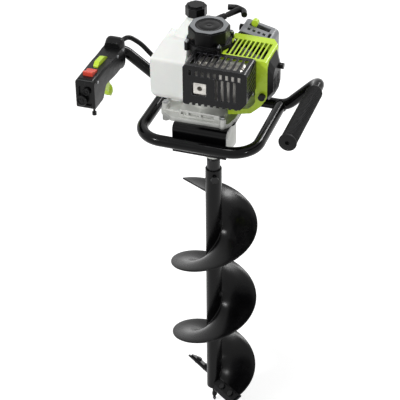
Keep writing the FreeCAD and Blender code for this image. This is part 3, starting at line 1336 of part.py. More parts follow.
def auger_flight():
    """Right-hand flight: an upright rectangle swept along a helix."""
    spine = Part.makeHelix(FLIGHT_PITCH, FLIGHT_TURNS * FLIGHT_PITCH, (STEM_R + FLIGHT_R) / 2)
    corners = [Vector(STEM_R, 0, 0), Vector(FLIGHT_R, 0, 0), Vector(FLIGHT_R, 0, FLIGHT_T),
               Vector(STEM_R, 0, FLIGHT_T)]
    profile = Part.makePolygon(corners + corners[:1])
    flight = Part.Wire(spine.Edges).makePipeShell([profile], True, True)
    flight.translate(Vector(0, 0, FLIGHT_BOTTOM))
    flight.rotate(ORIGIN, UP, BLADE_ANGLE)
    return flight


def blade_frame(shape, side):
    """Turn a plate drawn along +X with its leading edge at -Y into its working place."""
    shape.rotate(ORIGIN, X_AXIS, BLADE_RAKE)
    shape.translate(Vector(0, 0, FLIGHT_BOTTOM - 6))
    shape.rotate(ORIGIN, UP, BLADE_ANGLE + side * 180)
    return shape


BLADE_BOLT_X = (42.0, 74.0)


def cutter_wings():
    """Two sloping plates welded to the stem's foot; the blades bolt under them."""
    wings = []
    for side in (0, 1):
        wing = slab_z([(STEM_R - 3, -16), (FLIGHT_R - 8, -14), (FLIGHT_R - 4, 4), (STEM_R - 3, 6)],
                      [0, 3, 3, 0], 0, BLADE_T)
        wing = wing.cut([post(BLADE_BOLT_D / 2, Vector(x, -6, 0), -9, 9) for x in BLADE_BOLT_X])
        wings.append(blade_frame(wing, side).cut(post(STEM_R, ORIGIN, 0, 200)))
    return Part.makeCompound(wings)


def cutting_blades():
    """Two flat blades, each ground to a sharp leading edge."""
    blades = []
    for side in (0, 1):
        section = [(8, -BLADE_T), (8, 0), (-BLADE_W + 14, 0), (-BLADE_W + 4, -BLADE_T)]
        blade = slab_x(section, 0, STEM_R + 2, FLIGHT_R - 1)
        tip = box(FLIGHT_R - 12, FLIGHT_R + 5, -BLADE_W - 5, 20, -9, 9)
        tip.rotate(Vector(FLIGHT_R - 1, 8, 0), UP, -10)
        tip.translate(Vector(12, 0, 0))
        blade = blade.cut(tip)
        blade = blade.cut([post(BLADE_BOLT_D / 2, Vector(x, -6, 0), -9, 9) for x in BLADE_BOLT_X])
        blades.append(blade_frame(blade, side).cut(post(STEM_R, ORIGIN, 0, 200)))
    return Part.makeCompound(blades)


def blade_bolts():
    bolts = []
    for side in (0, 1):
        for x in BLADE_BOLT_X:
            start = Vector(x, -6, -BLADE_T)
            bolt = hex_bolt(start, Vector(x, -6, BLADE_T + 4), BLADE_BOLT_D, 12, 3.5)
            nut = hex_bolt(Vector(x, -6, BLADE_T + 4), Vector(x, -6, BLADE_T), 7, 12, -4)
            bolts.append(blade_frame(joined([bolt, nut]), side))
    return Part.makeCompound(bolts)


def pilot_point():
    """Twisted flat drill point with its round shank in the stem."""
    shank = post(6, ORIGIN, 46, STEM_BOTTOM + 30)
    sections = []
    heights = [0, 6, 12, 18, 24, 30, 36, 42, 48]
    for z in heights:
        grow = min(1.0, 0.25 + z / 12)
        half_w = PILOT_W / 2 * grow * (1.12 if z == 12 else 1.0)
        half_t = PILOT_T / 2 * grow
        corners = [Vector(half_w, half_t, z), Vector(-half_w, half_t, z),
                   Vector(-half_w, -half_t, z), Vector(half_w, -half_t, z)]
        wire = Part.makePolygon(corners + corners[:1])
        wire.rotate(ORIGIN, UP, z * 9.0)
        sections.append(wire)
    twist = Part.makeLoft(sections, True, True)
    return joined([twist, shank])


def coupling_pin():
    """Cross bolt that locks the bit to the output shaft."""
    start = Vector(0, -STEM_R - 0.2, PIN_Z)
    end = Vector(0, STEM_R + 9, PIN_Z)
    bolt = hex_bolt(start, end, PIN_D - 0.1, 16, 6)
    nut = hex_bolt(Vector(0, STEM_R + 0.2, PIN_Z), Vector(0, STEM_R + 1, PIN_Z), 9, 16, -7)
    pin = joined([bolt, nut])
    pin.rotate(ORIGIN, UP, PIN_ANGLE)
    return pin


# ---------------------------------------------------------------- output
MAKERS = [
    frame_loop, handle_bar, mount_plate, housing_bolts, right_grip, casing_screws,
    gearbox_housing, gearbox_cover, output_seal, output_bearings, lay_bearings, shaft_bearings,
    clutch_housing, crankcase, cylinder, spark_plug, plug_cap, muffler, muffler_guard,
    cylinder_shroud, shroud_end_cover, cover_knobs, carburettor, filter_base, filter_element,
    filter_cover, fan_housing, starter_housing, fuel_tank, fuel_hose,
    throttle_cable, cap_gasket, fuel_cap, primer_bulb, choke_lever, starter_reel, starter_rope,
    starter_handle, crankshaft, connecting_rod, piston, flywheel, clutch_shoes, clutch_drum,
    lay_gear, output_gear, output_shaft, coupling_pin, auger_stem, auger_flight, cutter_wings,
    cutting_blades, blade_bolts, pilot_point, throttle_trigger, lockout_lever, stop_switch,
    throttle_lock_pin, control_handle_outer, control_handle_inner,
]

os.makedirs("parts", exist_ok=True)
for maker in MAKERS:
    shape = maker()
    assert shape.isValid(), maker.__name__
    shape.exportStep("parts/" + maker.__name__ + ".step")
print(len(MAKERS), "nodes")
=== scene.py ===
import json
import math

import bmesh
import bpy
import numpy as np
from bpy.props import FloatProperty, FloatVectorProperty, IntProperty, PointerProperty
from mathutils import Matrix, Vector


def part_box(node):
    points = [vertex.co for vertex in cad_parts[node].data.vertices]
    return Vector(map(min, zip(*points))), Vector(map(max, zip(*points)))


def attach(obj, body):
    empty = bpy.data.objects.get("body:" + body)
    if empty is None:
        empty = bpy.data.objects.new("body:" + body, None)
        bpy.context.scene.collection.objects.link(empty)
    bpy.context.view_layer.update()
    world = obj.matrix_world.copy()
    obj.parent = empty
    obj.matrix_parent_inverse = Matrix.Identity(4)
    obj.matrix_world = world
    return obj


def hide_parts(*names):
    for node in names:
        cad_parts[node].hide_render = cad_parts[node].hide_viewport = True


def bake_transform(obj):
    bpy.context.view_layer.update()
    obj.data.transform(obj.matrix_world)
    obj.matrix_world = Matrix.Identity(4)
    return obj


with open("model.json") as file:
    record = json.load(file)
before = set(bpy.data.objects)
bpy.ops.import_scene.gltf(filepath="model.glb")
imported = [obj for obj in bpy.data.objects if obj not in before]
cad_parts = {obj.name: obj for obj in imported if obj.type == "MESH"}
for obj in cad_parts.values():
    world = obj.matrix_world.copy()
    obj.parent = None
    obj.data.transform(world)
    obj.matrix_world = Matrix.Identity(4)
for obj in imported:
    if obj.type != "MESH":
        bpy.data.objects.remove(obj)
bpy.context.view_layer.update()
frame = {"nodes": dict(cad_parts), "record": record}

bl_info = {
    "name": "Petrol ground auger",
    "version": (1, 0, 0),
    "blender": (4, 5, 0),
    "location": "View3D > Sidebar > Auger",
    "description": "Dresses the packed frame of a petrol ground and ice auger",
    "category": "Add Mesh",
}

NODES = frame["nodes"]
MM = 0.001

# camera: where it looks from, in degrees, and the point it looks at, in metres
CAMERA_TURN = 18
CAMERA_DOWN = 34.72
AIM_HEIGHT = 0.603
AIM_ACROSS = 0.02358
CAMERA_SHIFT = -0.06035
CAMERA_LENS = 135

# stage: light that diffuse surfaces get from the white surround, and how much the paper glows
SKY_ON_SURFACES = 0.32
PAPER_GLOW = 0.62
PAPER_HALF = 14.0
LAMP_AIM = Vector((0, 0, 0.7))
LAMPS = (        # name, place, width, power
    ("key_lamp", (-1.7, -2.4, 2.6), 0.5, 46),
    ("side_lamp", (2.6, -1.5, 1.5), 0.25, 14),
    ("rear_lamp", (0.9, 2.2, 2.5), 0.5, 24),
    ("top_lamp", (-0.2, -0.4, 3.2), 0.6, 16),
)

SHARP_ANGLE = 38          # degrees between faces above which an edge stays sharp
PULL_ANGLE = 62           # direction of the starter pull, in degrees from +X towards +Y
GRIP_BORE_R = 12.9 * MM   # just outside the tube that the grip sits on


# ------------------------------------------------------------------ colour and node helpers
def linear(hex_code):
    """sRGB hex to linear red, green and blue."""
    values = [int(hex_code[i:i + 2], 16) / 255 for i in (1, 3, 5)]
    return tuple(v / 12.92 if v <= 0.04045 else ((v + 0.055) / 1.055) ** 2.4 for v in values)


def add(tree, kind, links=(), **settings):
    """Adds a node; settings are attributes or input values, links are (input, source socket)."""
    node = tree.nodes.new(kind)
    for key, value in settings.items():
        if hasattr(node, key):
            setattr(node, key, value)
        else:
            name = int(key[1:]) if key[0] == "i" and key[1:].isdigit() else key.replace("_", " ")
            node.inputs[name].default_value = value
    for name, source in links:
        tree.links.new(source, node.inputs[name])
    return node


def surface(name, colour, rough, metallic=0.0, grain_mm=1.0, grain_depth=0.05,
            blotch_mm=30.0, blotch=0.10, rough_spread=0.08, edge_mm=0.8, wear=0.0,
            wear_colour="#9A9A98", stretch=(1, 1, 1), **shader):
    """Finish with broad tone changes, fine surface grain, softened edges and lightened edges: rubbed
    wear on some finishes, a painted highlight on others.
    """
    material = bpy.data.materials.new(name)
    material.use_nodes = True
    tree = material.node_tree
    tree.nodes.clear()
    base = (*linear(colour), 1)
    place = add(tree, "ShaderNodeTexCoord").outputs["Object"]
    turn = add(tree, "ShaderNodeMapping", [("Vector", place)])
    turn.inputs["Scale"].default_value = stretch
    place = turn.outputs["Vector"]
    broad = add(tree, "ShaderNodeTexNoise", [("Vector", place)], Scale=1 / (blotch_mm * MM), Detail=4.0)
    fine = add(tree, "ShaderNodeTexNoise", [("Vector", place)], Scale=1 / (grain_mm * MM), Detail=2.0)
    dark = add(tree, "ShaderNodeMapRange", [("Value", broad.outputs["Fac"])],
               i1=0.3, i2=0.7, i3=1 - blotch, i4=1 + blotch)
    tone = add(tree, "ShaderNodeVectorMath", [(3, dark.outputs["Result"])], operation="SCALE")
    tone.inputs[0].default_value = base[:3]
    colour_out = tone.outputs["Vector"]
    soft = add(tree, "ShaderNodeBevel", samples=4, Radius=edge_mm * MM)
    normal = add(tree, "ShaderNodeNewGeometry").outputs["Normal"]
    # edges are lightened towards the second colour: rubbed paint on some finishes, a painted highlight
    # of light caught by folds and rims on others
    if wear > 0:
        edge = add(tree, "ShaderNodeVectorMath", [(0, soft.outputs["Normal"]), (1, normal)],
                   operation="DOT_PRODUCT")
        edge_wear_and_glint_amount = add(tree, "ShaderNodeMapRange", [("Value", edge.outputs["Value"])],
                  i1=0.985, i2=0.80, i3=0.0, i4=wear)
        patchy = add(tree, "ShaderNodeMath", [(0, edge_wear_and_glint_amount.outputs["Result"]), (1, broad.outputs["Fac"])],
                     operation="MULTIPLY")
        mix = add(tree, "ShaderNodeMix", [("Factor", patchy.outputs["Value"]), ("A", colour_out)],
                  data_type="RGBA")
        tree.links.new(colour_out, mix.inputs[6])
        mix.inputs[7].default_value = (*linear(wear_colour), 1)
        colour_out = mix.outputs[2]
    gloss = add(tree, "ShaderNodeMapRange", [("Value", broad.outputs["Fac"])],
                i1=0.25, i2=0.75, i3=max(0.03, rough - rough_spread), i4=min(1.0, rough + rough_spread))
    bump = add(tree, "ShaderNodeBump",
               [("Height", fine.outputs["Fac"]), ("Normal", soft.outputs["Normal"])],
               Strength=0.6, Distance=grain_depth * MM)
    body = add(tree, "ShaderNodeBsdfPrincipled",
               [("Base Color", colour_out), ("Roughness", gloss.outputs["Result"]),
                ("Normal", bump.outputs["Normal"])], Metallic=metallic, **shader)
    add(tree, "ShaderNodeOutputMaterial", [("Surface", body.outputs["BSDF"])])
    material.diffuse_color = base
    return material


FINISHES = {}
OXIDE_BLACK = ("output_shaft", "coupling_pin", "blade_bolts")


def make_finishes(colours):
    """Every finish of the machine, named for what it is made of."""
    make = {
        # stove enamel on drawn steel tube: deep black with wet streaks and a slight orange peel
        "black_tube": dict(name="stove_enamel_black", colour="#050506", rough=0.15, grain_mm=2.4,
                           grain_depth=0.05, wear=0.3, wear_colour="#4A4A4B", rough_spread=0.04,
                           Specular_IOR_Level=0.16),
        # zinc plate on machined steel: cool grey with soft streaks
        "steel_bright": dict(name="zinc_plated_steel", colour="#A9ABAD", rough=0.30, metallic=1.0,
                             grain_mm=0.8, grain_depth=0.03, wear=0.2, wear_colour="#DADADA"),
        # black oxide on hardened steel: dark brown-black with a faint metal sheen
        "black_oxide": dict(name="black_oxide_steel", colour="#1A1A1B", rough=0.32, metallic=0.35,
                            grain_mm=0.9, grain_depth=0.04, blotch=0.2, wear=0.4, wear_colour="#6C6C6C",
                            Specular_IOR_Level=0.35),
        # pressure die casting, bead blasted: pale, fine even grain and a dull sheen
        "cast_aluminium": dict(name="die_cast_aluminium", colour="#BDBEBA", rough=0.42, metallic=0.55,
                               grain_mm=1.1, grain_depth=0.12, blotch=0.10, blotch_mm=22, wear=0.6,
                               wear_colour="#F2F2EC"),
        # moulded nitrile rubber: very dark and dull
        "rubber_black": dict(name="moulded_rubber", colour="#111112", rough=0.50, grain_mm=0.9,
                             grain_depth=0.08, blotch=0.16, wear=0.5, wear_colour="#4E4E50",
                             Specular_IOR_Level=0.18),
        # heat paint on pressed sheet: satin black, its folds and slot edges lightened to violet grey as
        # a painted highlight
        "heat_black": dict(name="heat_paint_on_sheet", colour="#08080A", rough=0.22, grain_mm=1.0,
                           grain_depth=0.06, wear=1.0, wear_colour="#84848C", edge_mm=1.2,
                           blotch=0.25, blotch_mm=14, rough_spread=0.10, Specular_IOR_Level=0.22),
        # uncoated sheet steel that has been hot: pale grey with straw patches
        "muffler_steel": dict(name="heated_sheet_steel", colour="#C9C6C0", rough=0.34, metallic=0.7,
                              grain_mm=1.0, grain_depth=0.05, blotch=0.25, blotch_mm=18.0),
        # glossy moulded ABS in lime: saturated, with faint sink marks
        "lime_plastic": dict(name="moulded_abs_lime", colour=None, rough=0.28, grain_mm=1.4,
                             grain_depth=0.03, blotch=0.05, wear=0.4, wear_colour="#E2F27C",
                             Specular_IOR_Level=0.4),
        # spark textured nylon: soft black with a fine grain
        "black_plastic": dict(name="textured_nylon_black", colour="#0B0B0C", rough=0.32, grain_mm=0.9,
                              grain_depth=0.07, blotch=0.18, wear=0.7, wear_colour="#5A5A5E",
                              Specular_IOR_Level=0.18),
        # moulded polypropylene, mid grey
        "grey_plastic": dict(name="moulded_polypropylene_grey", colour="#85878B", rough=0.38,
                             grain_mm=1.0, grain_depth=0.06, blotch=0.08, wear=0.5,
                             wear_colour="#C4C6CA", Specular_IOR_Level=0.45),
        # moulded polypropylene, light grey, of the starter's ring
        "light_plastic": dict(name="moulded_polypropylene_light", colour="#7C7F82", rough=0.36,
                              grain_mm=1.0, grain_depth=0.05, blotch=0.06, wear=0.4,
                              wear_colour="#E2E2E4", Specular_IOR_Level=0.45),
        # reticulated foam: open dark cells
        "filter_foam": dict(name="reticulated_foam", colour="#242424", rough=0.95, grain_mm=2.5,
                            grain_depth=1.2, blotch=0.3),
        # blow moulded polyethylene: milky, with light spreading inside the wall
        "tank_plastic": dict(name="blow_moulded_polyethylene", colour="#FAFAF6", rough=0.34,
                             grain_mm=1.6, grain_depth=0.05, blotch=0.02, edge_mm=2.5,
                             Subsurface_Weight=0.12, Subsurface_Scale=0.006),
        # extruded rubber sleeve: black with a dull sheen
        "hose_rubber": dict(name="extruded_rubber_sleeve", colour="#0C0C0D", rough=0.34, grain_mm=1.2,
                            grain_depth=0.06, Specular_IOR_Level=0.18),
        # soft clear rubber, slightly amber
        "primer_rubber": dict(name="amber_fuel_rubber", colour="#B4633A", rough=0.25,
                              Transmission_Weight=0.3),
        # moulded ABS of the stop rocker
        "red_plastic": dict(name="moulded_abs_red", colour=None, rough=0.28, grain_mm=1.2,
                            grain_depth=0.04, wear=0.4, wear_colour="#F09A88", Specular_IOR_Level=0.4),
        # powder coat over hot rolled steel: near black, low sheen, its rims lightened to grey as a
        # painted highlight of their bright edge
        "auger_steel": dict(name="powder_coat_on_rolled_steel", colour="#060607", rough=0.24,
                            grain_mm=1.4, grain_depth=0.08, blotch=0.25, blotch_mm=45.0, wear=0.8,
                            wear_colour="#5E5E60", rough_spread=0.08, Specular_IOR_Level=0.16),
        # hardened blade steel with a ground bevel under thin paint
        "blade_steel": dict(name="painted_blade_steel", colour="#1C1C1E", rough=0.32, metallic=0.3,
                            grain_mm=0.8, grain_depth=0.05, stretch=(1, 6, 1), wear=1.0,
                            wear_colour="#9A9A9C", Specular_IOR_Level=0.2),
    }
    make["lime_plastic"]["colour"] = colours["lime"]
    make["red_plastic"]["colour"] = colours["red"]
    for slot, settings in make.items():
        FINISHES[slot] = surface(**settings)
    FINISHES["rope_fibre"] = braided_cord()


def braided_cord():
    """Braided polyester: two wave patterns cross along the cord as its strands do."""
    material = bpy.data.materials.new("braided_polyester")
    material.use_nodes = True
    tree = material.node_tree
    tree.nodes.clear()
    place = add(tree, "ShaderNodeTexCoord").outputs["UV"]
    heights = []
    for slope in (1, -1):
        turn = add(tree, "ShaderNodeMapping", [("Vector", place)])
        turn.inputs["Rotation"].default_value = (0, 0, slope * 0.7)
        wave = add(tree, "ShaderNodeTexWave", [("Vector", turn.outputs["Vector"])], Scale=6.0)
        heights.append(wave.outputs["Fac"])
    both = add(tree, "ShaderNodeMath", [(0, heights[0]), (1, heights[1])], operation="MULTIPLY")
    ramp = add(tree, "ShaderNodeMix", [("Factor", both.outputs["Value"])], data_type="RGBA")
    ramp.inputs[6].default_value = (*linear("#8D8A80"), 1)
    ramp.inputs[7].default_value = (*linear("#D8D5CA"), 1)
    bump = add(tree, "ShaderNodeBump", [("Height", both.outputs["Value"])], Strength=0.8,
               Distance=0.3 * MM)
    body = add(tree, "ShaderNodeBsdfPrincipled",
               [("Base Color", ramp.outputs[2]), ("Normal", bump.outputs["Normal"])], Roughness=0.8)
    add(tree, "ShaderNodeOutputMaterial", [("Surface", body.outputs["BSDF"])])
    return material


# ------------------------------------------------------------------ mesh helpers
def grid_piece(name, points, slot, body, around=False, along=False, caps=False, smooth=True):
    """Mesh from a grid of points (rows, columns, xyz); around or along closes it on itself."""
    rows, columns = points.shape[:2]
    index = np.arange(rows * columns).reshape(rows, columns)
    if around:
        index = np.concatenate([index, index[:, :1]], axis=1)
    if along:
        index = np.concatenate([index, index[:1]], axis=0)
    quads = np.stack([index[:-1, :-1], index[:-1, 1:], index[1:, 1:], index[1:, :-1]], axis=-1)
    faces = quads.reshape(-1, 4).tolist()
    if caps:
        faces.append(index[0, :columns].tolist())
        faces.append(index[-1, :columns][::-1].tolist())
    mesh = bpy.data.meshes.new(name)
    mesh.from_pydata(points.reshape(-1, 3).tolist(), [], faces)
    return seat_piece(name, mesh, slot, body, smooth)


def seat_piece(name, mesh, slot, body, smooth=True):
    """Merges doubles, faces the surface outwards and hangs the piece on its body."""
    work = bmesh.new()
    work.from_mesh(mesh)
    bmesh.ops.remove_doubles(work, verts=work.verts, dist=1e-6)
    bmesh.ops.recalc_face_normals(work, faces=work.faces)
    for face in work.faces:
        face.smooth = smooth
    work.to_mesh(mesh)
    work.free()
    piece = bpy.data.objects.new(name, mesh)
    bpy.context.scene.collection.objects.link(piece)
    mesh.materials.append(FINISHES[slot])
    if smooth:
        mesh.set_sharp_from_angle(angle=math.radians(SHARP_ANGLE))
    if body is not None:
        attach(piece, body)
    return piece


def revolve(profile, axis_point, axis, steps=64):
    """Points of a profile of (radius, distance along the axis) turned about that axis."""
    axis = np.array(Vector(axis).normalized())
    side = np.cross(axis, [0, 0, 1.0])
    if np.linalg.norm(side) < 0.1:
        side = np.cross(axis, [0, 1.0, 0])
    side /= np.linalg.norm(side)
    other = np.cross(axis, side)
    profile = np.asarray(profile, float)
    angle = np.linspace(0, 2 * math.pi, steps, endpoint=False)
    spokes = np.cos(angle)[:, None] * side + np.sin(angle)[:, None] * other
    ring = profile[:, None, 0, None] * spokes[None] + profile[:, None, 1, None] * axis
    return ring + np.asarray(axis_point, float)


def tube_points(path, radius, steps=16, up=(0, 0, 1)):
    """Circle of the given radius carried along a path, square to the path's direction."""
    path = np.asarray(path, float)
    ahead = np.gradient(path, axis=0)
    ahead /= np.linalg.norm(ahead, axis=1)[:, None]
    side = np.cross(ahead, np.asarray(up, float))
    side /= np.linalg.norm(side, axis=1)[:, None]
    other = np.cross(side, ahead)
    angle = np.linspace(0, 2 * math.pi, steps, endpoint=False)
    radius = np.broadcast_to(np.asarray(radius, float), (len(path),))
    circle = (np.cos(angle)[None, :, None] * side[:, None]
              + np.sin(angle)[None, :, None] * other[:, None])
    return path[:, None] + circle * radius[:, None, None]


# ------------------------------------------------------------------ sizes and colours a user may change
class AugerSizes(bpy.types.PropertyGroup):
    """Sizes of the dressing that the frame leaves open."""
    flight_pitch: FloatProperty(name="Flight pitch", description="Rise of the flight in one turn",
                                default=0.210, unit="LENGTH")
    flight_turns: FloatProperty(name="Flight turns", description="Turns of the flight", default=2.525)
    flight_start: FloatProperty(name="Flight start", description="Direction of the flight's foot",
                                default=math.radians(-35.5), subtype="ANGLE")
    weld_radius: FloatProperty(name="Weld bead", description="Radius of the weld beads",
                               default=0.0024, unit="LENGTH")
    grip_ribs: IntProperty(name="Grip ribs", description="Rings on the plain grip", default=40)
    starter_flat: FloatProperty(name="Starter crown",
                                description="Crown of the starter across its flats",
                                default=0.079, unit="LENGTH")
    starter_disc: FloatProperty(name="Starter disc", description="Diameter of the disc in the crown",
                                default=0.059, unit="LENGTH")
    camera_distance: FloatProperty(name="Camera distance", description="Camera to the object's middle",
                                   default=3.387, unit="LENGTH")


class AugerColours(bpy.types.PropertyGroup):
    """Colours of the moulded parts."""
    lime: FloatVectorProperty(name="Lime", description="Colour of the shroud, trigger and levers",
                              default=linear("#C4E436"), subtype="COLOR", size=3, min=0, max=1)
    red: FloatVectorProperty(name="Red", description="Colour of the stop rocker",
                             default=linear("#DC4C3A"), subtype="COLOR", size=3, min=0, max=1)


def to_hex(colour):
    """Linear red, green and blue to an sRGB hex."""
    values = [12.92 * v if v <= 0.0031308 else 1.055 * v ** (1 / 2.4) - 0.055 for v in colour]
    return "#" + "".join(f"{round(max(0, min(1, v)) * 255):02X}" for v in values)


class AUGER_OT_finishes(bpy.types.Operator):
    """Make every finish and put it on the frame's nodes"""
    bl_idname = "auger.finishes"
    bl_label = "Finishes"

    def execute(self, context):
        colours = context.scene.auger_colours
        make_finishes({"lime": to_hex(colours.lime), "red": to_hex(colours.red)})
        for row in frame["record"]["subparts"]:
            node = NODES[row["node"]]
            finish = "black_oxide" if row["node"] in OXIDE_BLACK else row["material_slot"]
            node.data.materials.clear()
            node.data.materials.append(FINISHES[finish])
        return {"FINISHED"}


class AUGER_OT_camera(bpy.types.Operator):
    """Long-lens camera that looks down on the machine"""
    bl_idname = "auger.camera"
    bl_label = "Camera"

    def execute(self, context):
        turn = math.radians(CAMERA_TURN)
        down = math.radians(CAMERA_DOWN)
        look = Vector((-math.sin(turn) * math.cos(down), math.cos(turn) * math.cos(down),
                       -math.sin(down)))
        across = Vector((math.cos(turn), math.sin(turn), 0))
        aim = Vector((0, 0, AIM_HEIGHT)) + across * AIM_ACROSS
        data = bpy.data.cameras.new("auger_camera")
        data.lens = CAMERA_LENS
        data.sensor_width = 36
        data.shift_x = CAMERA_SHIFT
        data.clip_end = 100
        data.dof.use_dof = False
        camera = bpy.data.objects.new("auger_camera", data)
        camera.location = aim - look * context.scene.auger_sizes.camera_distance
        camera.rotation_euler = look.to_track_quat("-Z", "Y").to_euler()
        context.scene.collection.objects.link(camera)
        context.scene.camera = camera
        return {"FINISHED"}


class AUGER_OT_flight(bpy.types.Operator):
    """Smooth helical flight with its weld beads.

    A rounded plate section is turned about the Z axis while it climbs: at turn t (radians) it points
    to start + t and stands pitch * t / (2 pi) above the foot. The beads follow the plate's two inner
    corners, and their radius swells by a tenth with the sine of 38 t, as weld puddles do."""
    bl_idname = "auger.flight"
    bl_label = "Flight"

    def execute(self, context):
        sizes = context.scene.auger_sizes
        low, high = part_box("auger_flight")
        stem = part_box("auger_stem")
        inner = (stem[1].x - stem[0].x) / 2 - 0.0004
        outer = max(high.x, high.y, -low.x, -low.y)
        thick = high.z - low.z - sizes.flight_turns * sizes.flight_pitch
        edge = thick * 0.35
        corner = np.linspace(0, math.pi / 2, 4)
        top = np.stack([outer - edge + edge * np.sin(corner), thick - edge + edge * np.cos(corner)], 1)
        bottom = np.stack([outer - edge + edge * np.cos(corner), edge - edge * np.sin(corner)], 1)
        spans = np.linspace(inner, outer - edge, 8)[:-1]
        upper = np.stack([spans, np.full_like(spans, thick)], 1)
        lower = np.stack([spans[::-1], np.zeros_like(spans)], 1)
        profile = np.concatenate([upper, top, bottom, lower])
        turn = np.linspace(0, sizes.flight_turns * 2 * math.pi, 360)
        angle = sizes.flight_start + turn
        rise = low.z + turn / (2 * math.pi) * sizes.flight_pitch
        points = np.stack([
            np.cos(angle)[:, None] * profile[None, :, 0],
            np.sin(angle)[:, None] * profile[None, :, 0],
            rise[:, None] + profile[None, :, 1]], axis=-1)
        flight = grid_piece("flight_plate", points, "auger_steel", "bit", around=True, caps=True)
        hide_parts("auger_flight")
        for name, height in (("weld_bead_upper", thick), ("weld_bead_lower", 0.0)):
            wobble = 1 + 0.10 * np.sin(turn * 38)
            path = np.stack([np.cos(angle) * inner * 1.01, np.sin(angle) * inner * 1.01,
                             rise + height], axis=-1)[4:-4]
            bead = tube_points(path, (sizes.weld_radius * wobble)[4:-4], 10)
            grid_piece(name, bead, "auger_steel", "bit", around=True, caps=True)
        return {"FINISHED"}


class AUGER_OT_grip(bpy.types.Operator):
    """Ribbed rubber sleeve of the plain grip.

    A profile turned about the tube's axis: an end flange with its vent hole, then a sleeve whose radius
    follows a flattened cosine, one wave for each rib, and a rounded tail."""
    bl_idname = "auger.grip"
    bl_label = "Plain grip"

    def execute(self, context):
        ribs = context.scene.auger_sizes.grip_ribs
        low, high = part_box("right_grip")
        flange = (high.z - low.z) / 2
        sleeve = flange - 0.0026
        length = high.y - low.y
        first, last = 0.012, length - 0.008
        spot = np.linspace(first, last, ribs * 10)
        wave = np.cos((spot - first) / (last - first) * ribs * 2 * math.pi)
        swell = 0.0009 * np.clip(wave * 1.8, -1, 1)
        body = np.stack([sleeve + swell, spot], 1)
        nose = [(0, 0.006), (0.0046, 0.006), (0.0050, 0.0), (flange - 0.0018, 0.0),
                (flange - 0.0005, 0.0006), (flange, 0.0018), (flange, 0.0045), (flange - 0.0006, 0.0055),
                (sleeve - 0.0004, 0.0062), (sleeve - 0.0004, 0.0110)]
        tail = [(sleeve - 0.0006, length - 0.004), (sleeve - 0.0016, length - 0.001),
                (sleeve - 0.003, length), (GRIP_BORE_R, length), (GRIP_BORE_R, length - 0.01),
                (0, length - 0.01)]
        profile = np.concatenate([np.array(nose), body, np.array(tail)])
        centre = ((low.x + high.x) / 2, low.y, (low.z + high.z) / 2)
        points = revolve(profile, centre, (0, 1, 0), 72)
        grip = grid_piece("plain_grip_sleeve", points, "rubber_black", "frame", around=True)
        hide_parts("right_grip")
        return {"FINISHED"}


class AUGER_OT_welds(bpy.types.Operator):
    """Weld beads where the frame tube meets the rear bar.

    Two equal tubes that cross at a right angle meet on a saddle: at angle a round the first, the curve
    lies its radius times |cos a| from the second tube's axis. A bead of waving radius follows it."""
    bl_idname = "auger.welds"
    bl_label = "Frame welds"

    def execute(self, context):
        low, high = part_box("frame_loop")
        tube = (high.z - low.z) / 2
        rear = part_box("handle_bar")[1].y - tube
        radius = context.scene.auger_sizes.weld_radius
        angle = np.linspace(0, 2 * math.pi, 120, endpoint=False)
        for name, x in (("frame_weld_left", low.x + tube), ("frame_weld_right", high.x - tube)):
            path = np.stack([x + tube * np.cos(angle), rear - tube * np.abs(np.cos(angle)) * 0.98,
                             (low.z + high.z) / 2 + tube * np.sin(angle)], axis=-1)
            centre = np.array([x, rear - tube / 2, (low.z + high.z) / 2])
            outward = path - centre
            outward /= np.linalg.norm(outward, axis=1)[:, None]
            step = np.linspace(0, 2 * math.pi, 10, endpoint=False)
            ahead = np.roll(path, -1, 0) - np.roll(path, 1, 0)
            ahead /= np.linalg.norm(ahead, axis=1)[:, None]
            side = np.cross(ahead, outward)
            side /= np.linalg.norm(side, axis=1)[:, None]
            size = radius * (1 + 0.12 * np.sin(angle * 22))
            circle = (np.cos(step)[None, :, None] * outward[:, None]
                      + np.sin(step)[None, :, None] * side[:, None])
            bead = path[:, None] + size[:, None, None] * circle
            grid_piece(name, bead, "black_tube", "frame", around=True, along=True)
        return {"FINISHED"}


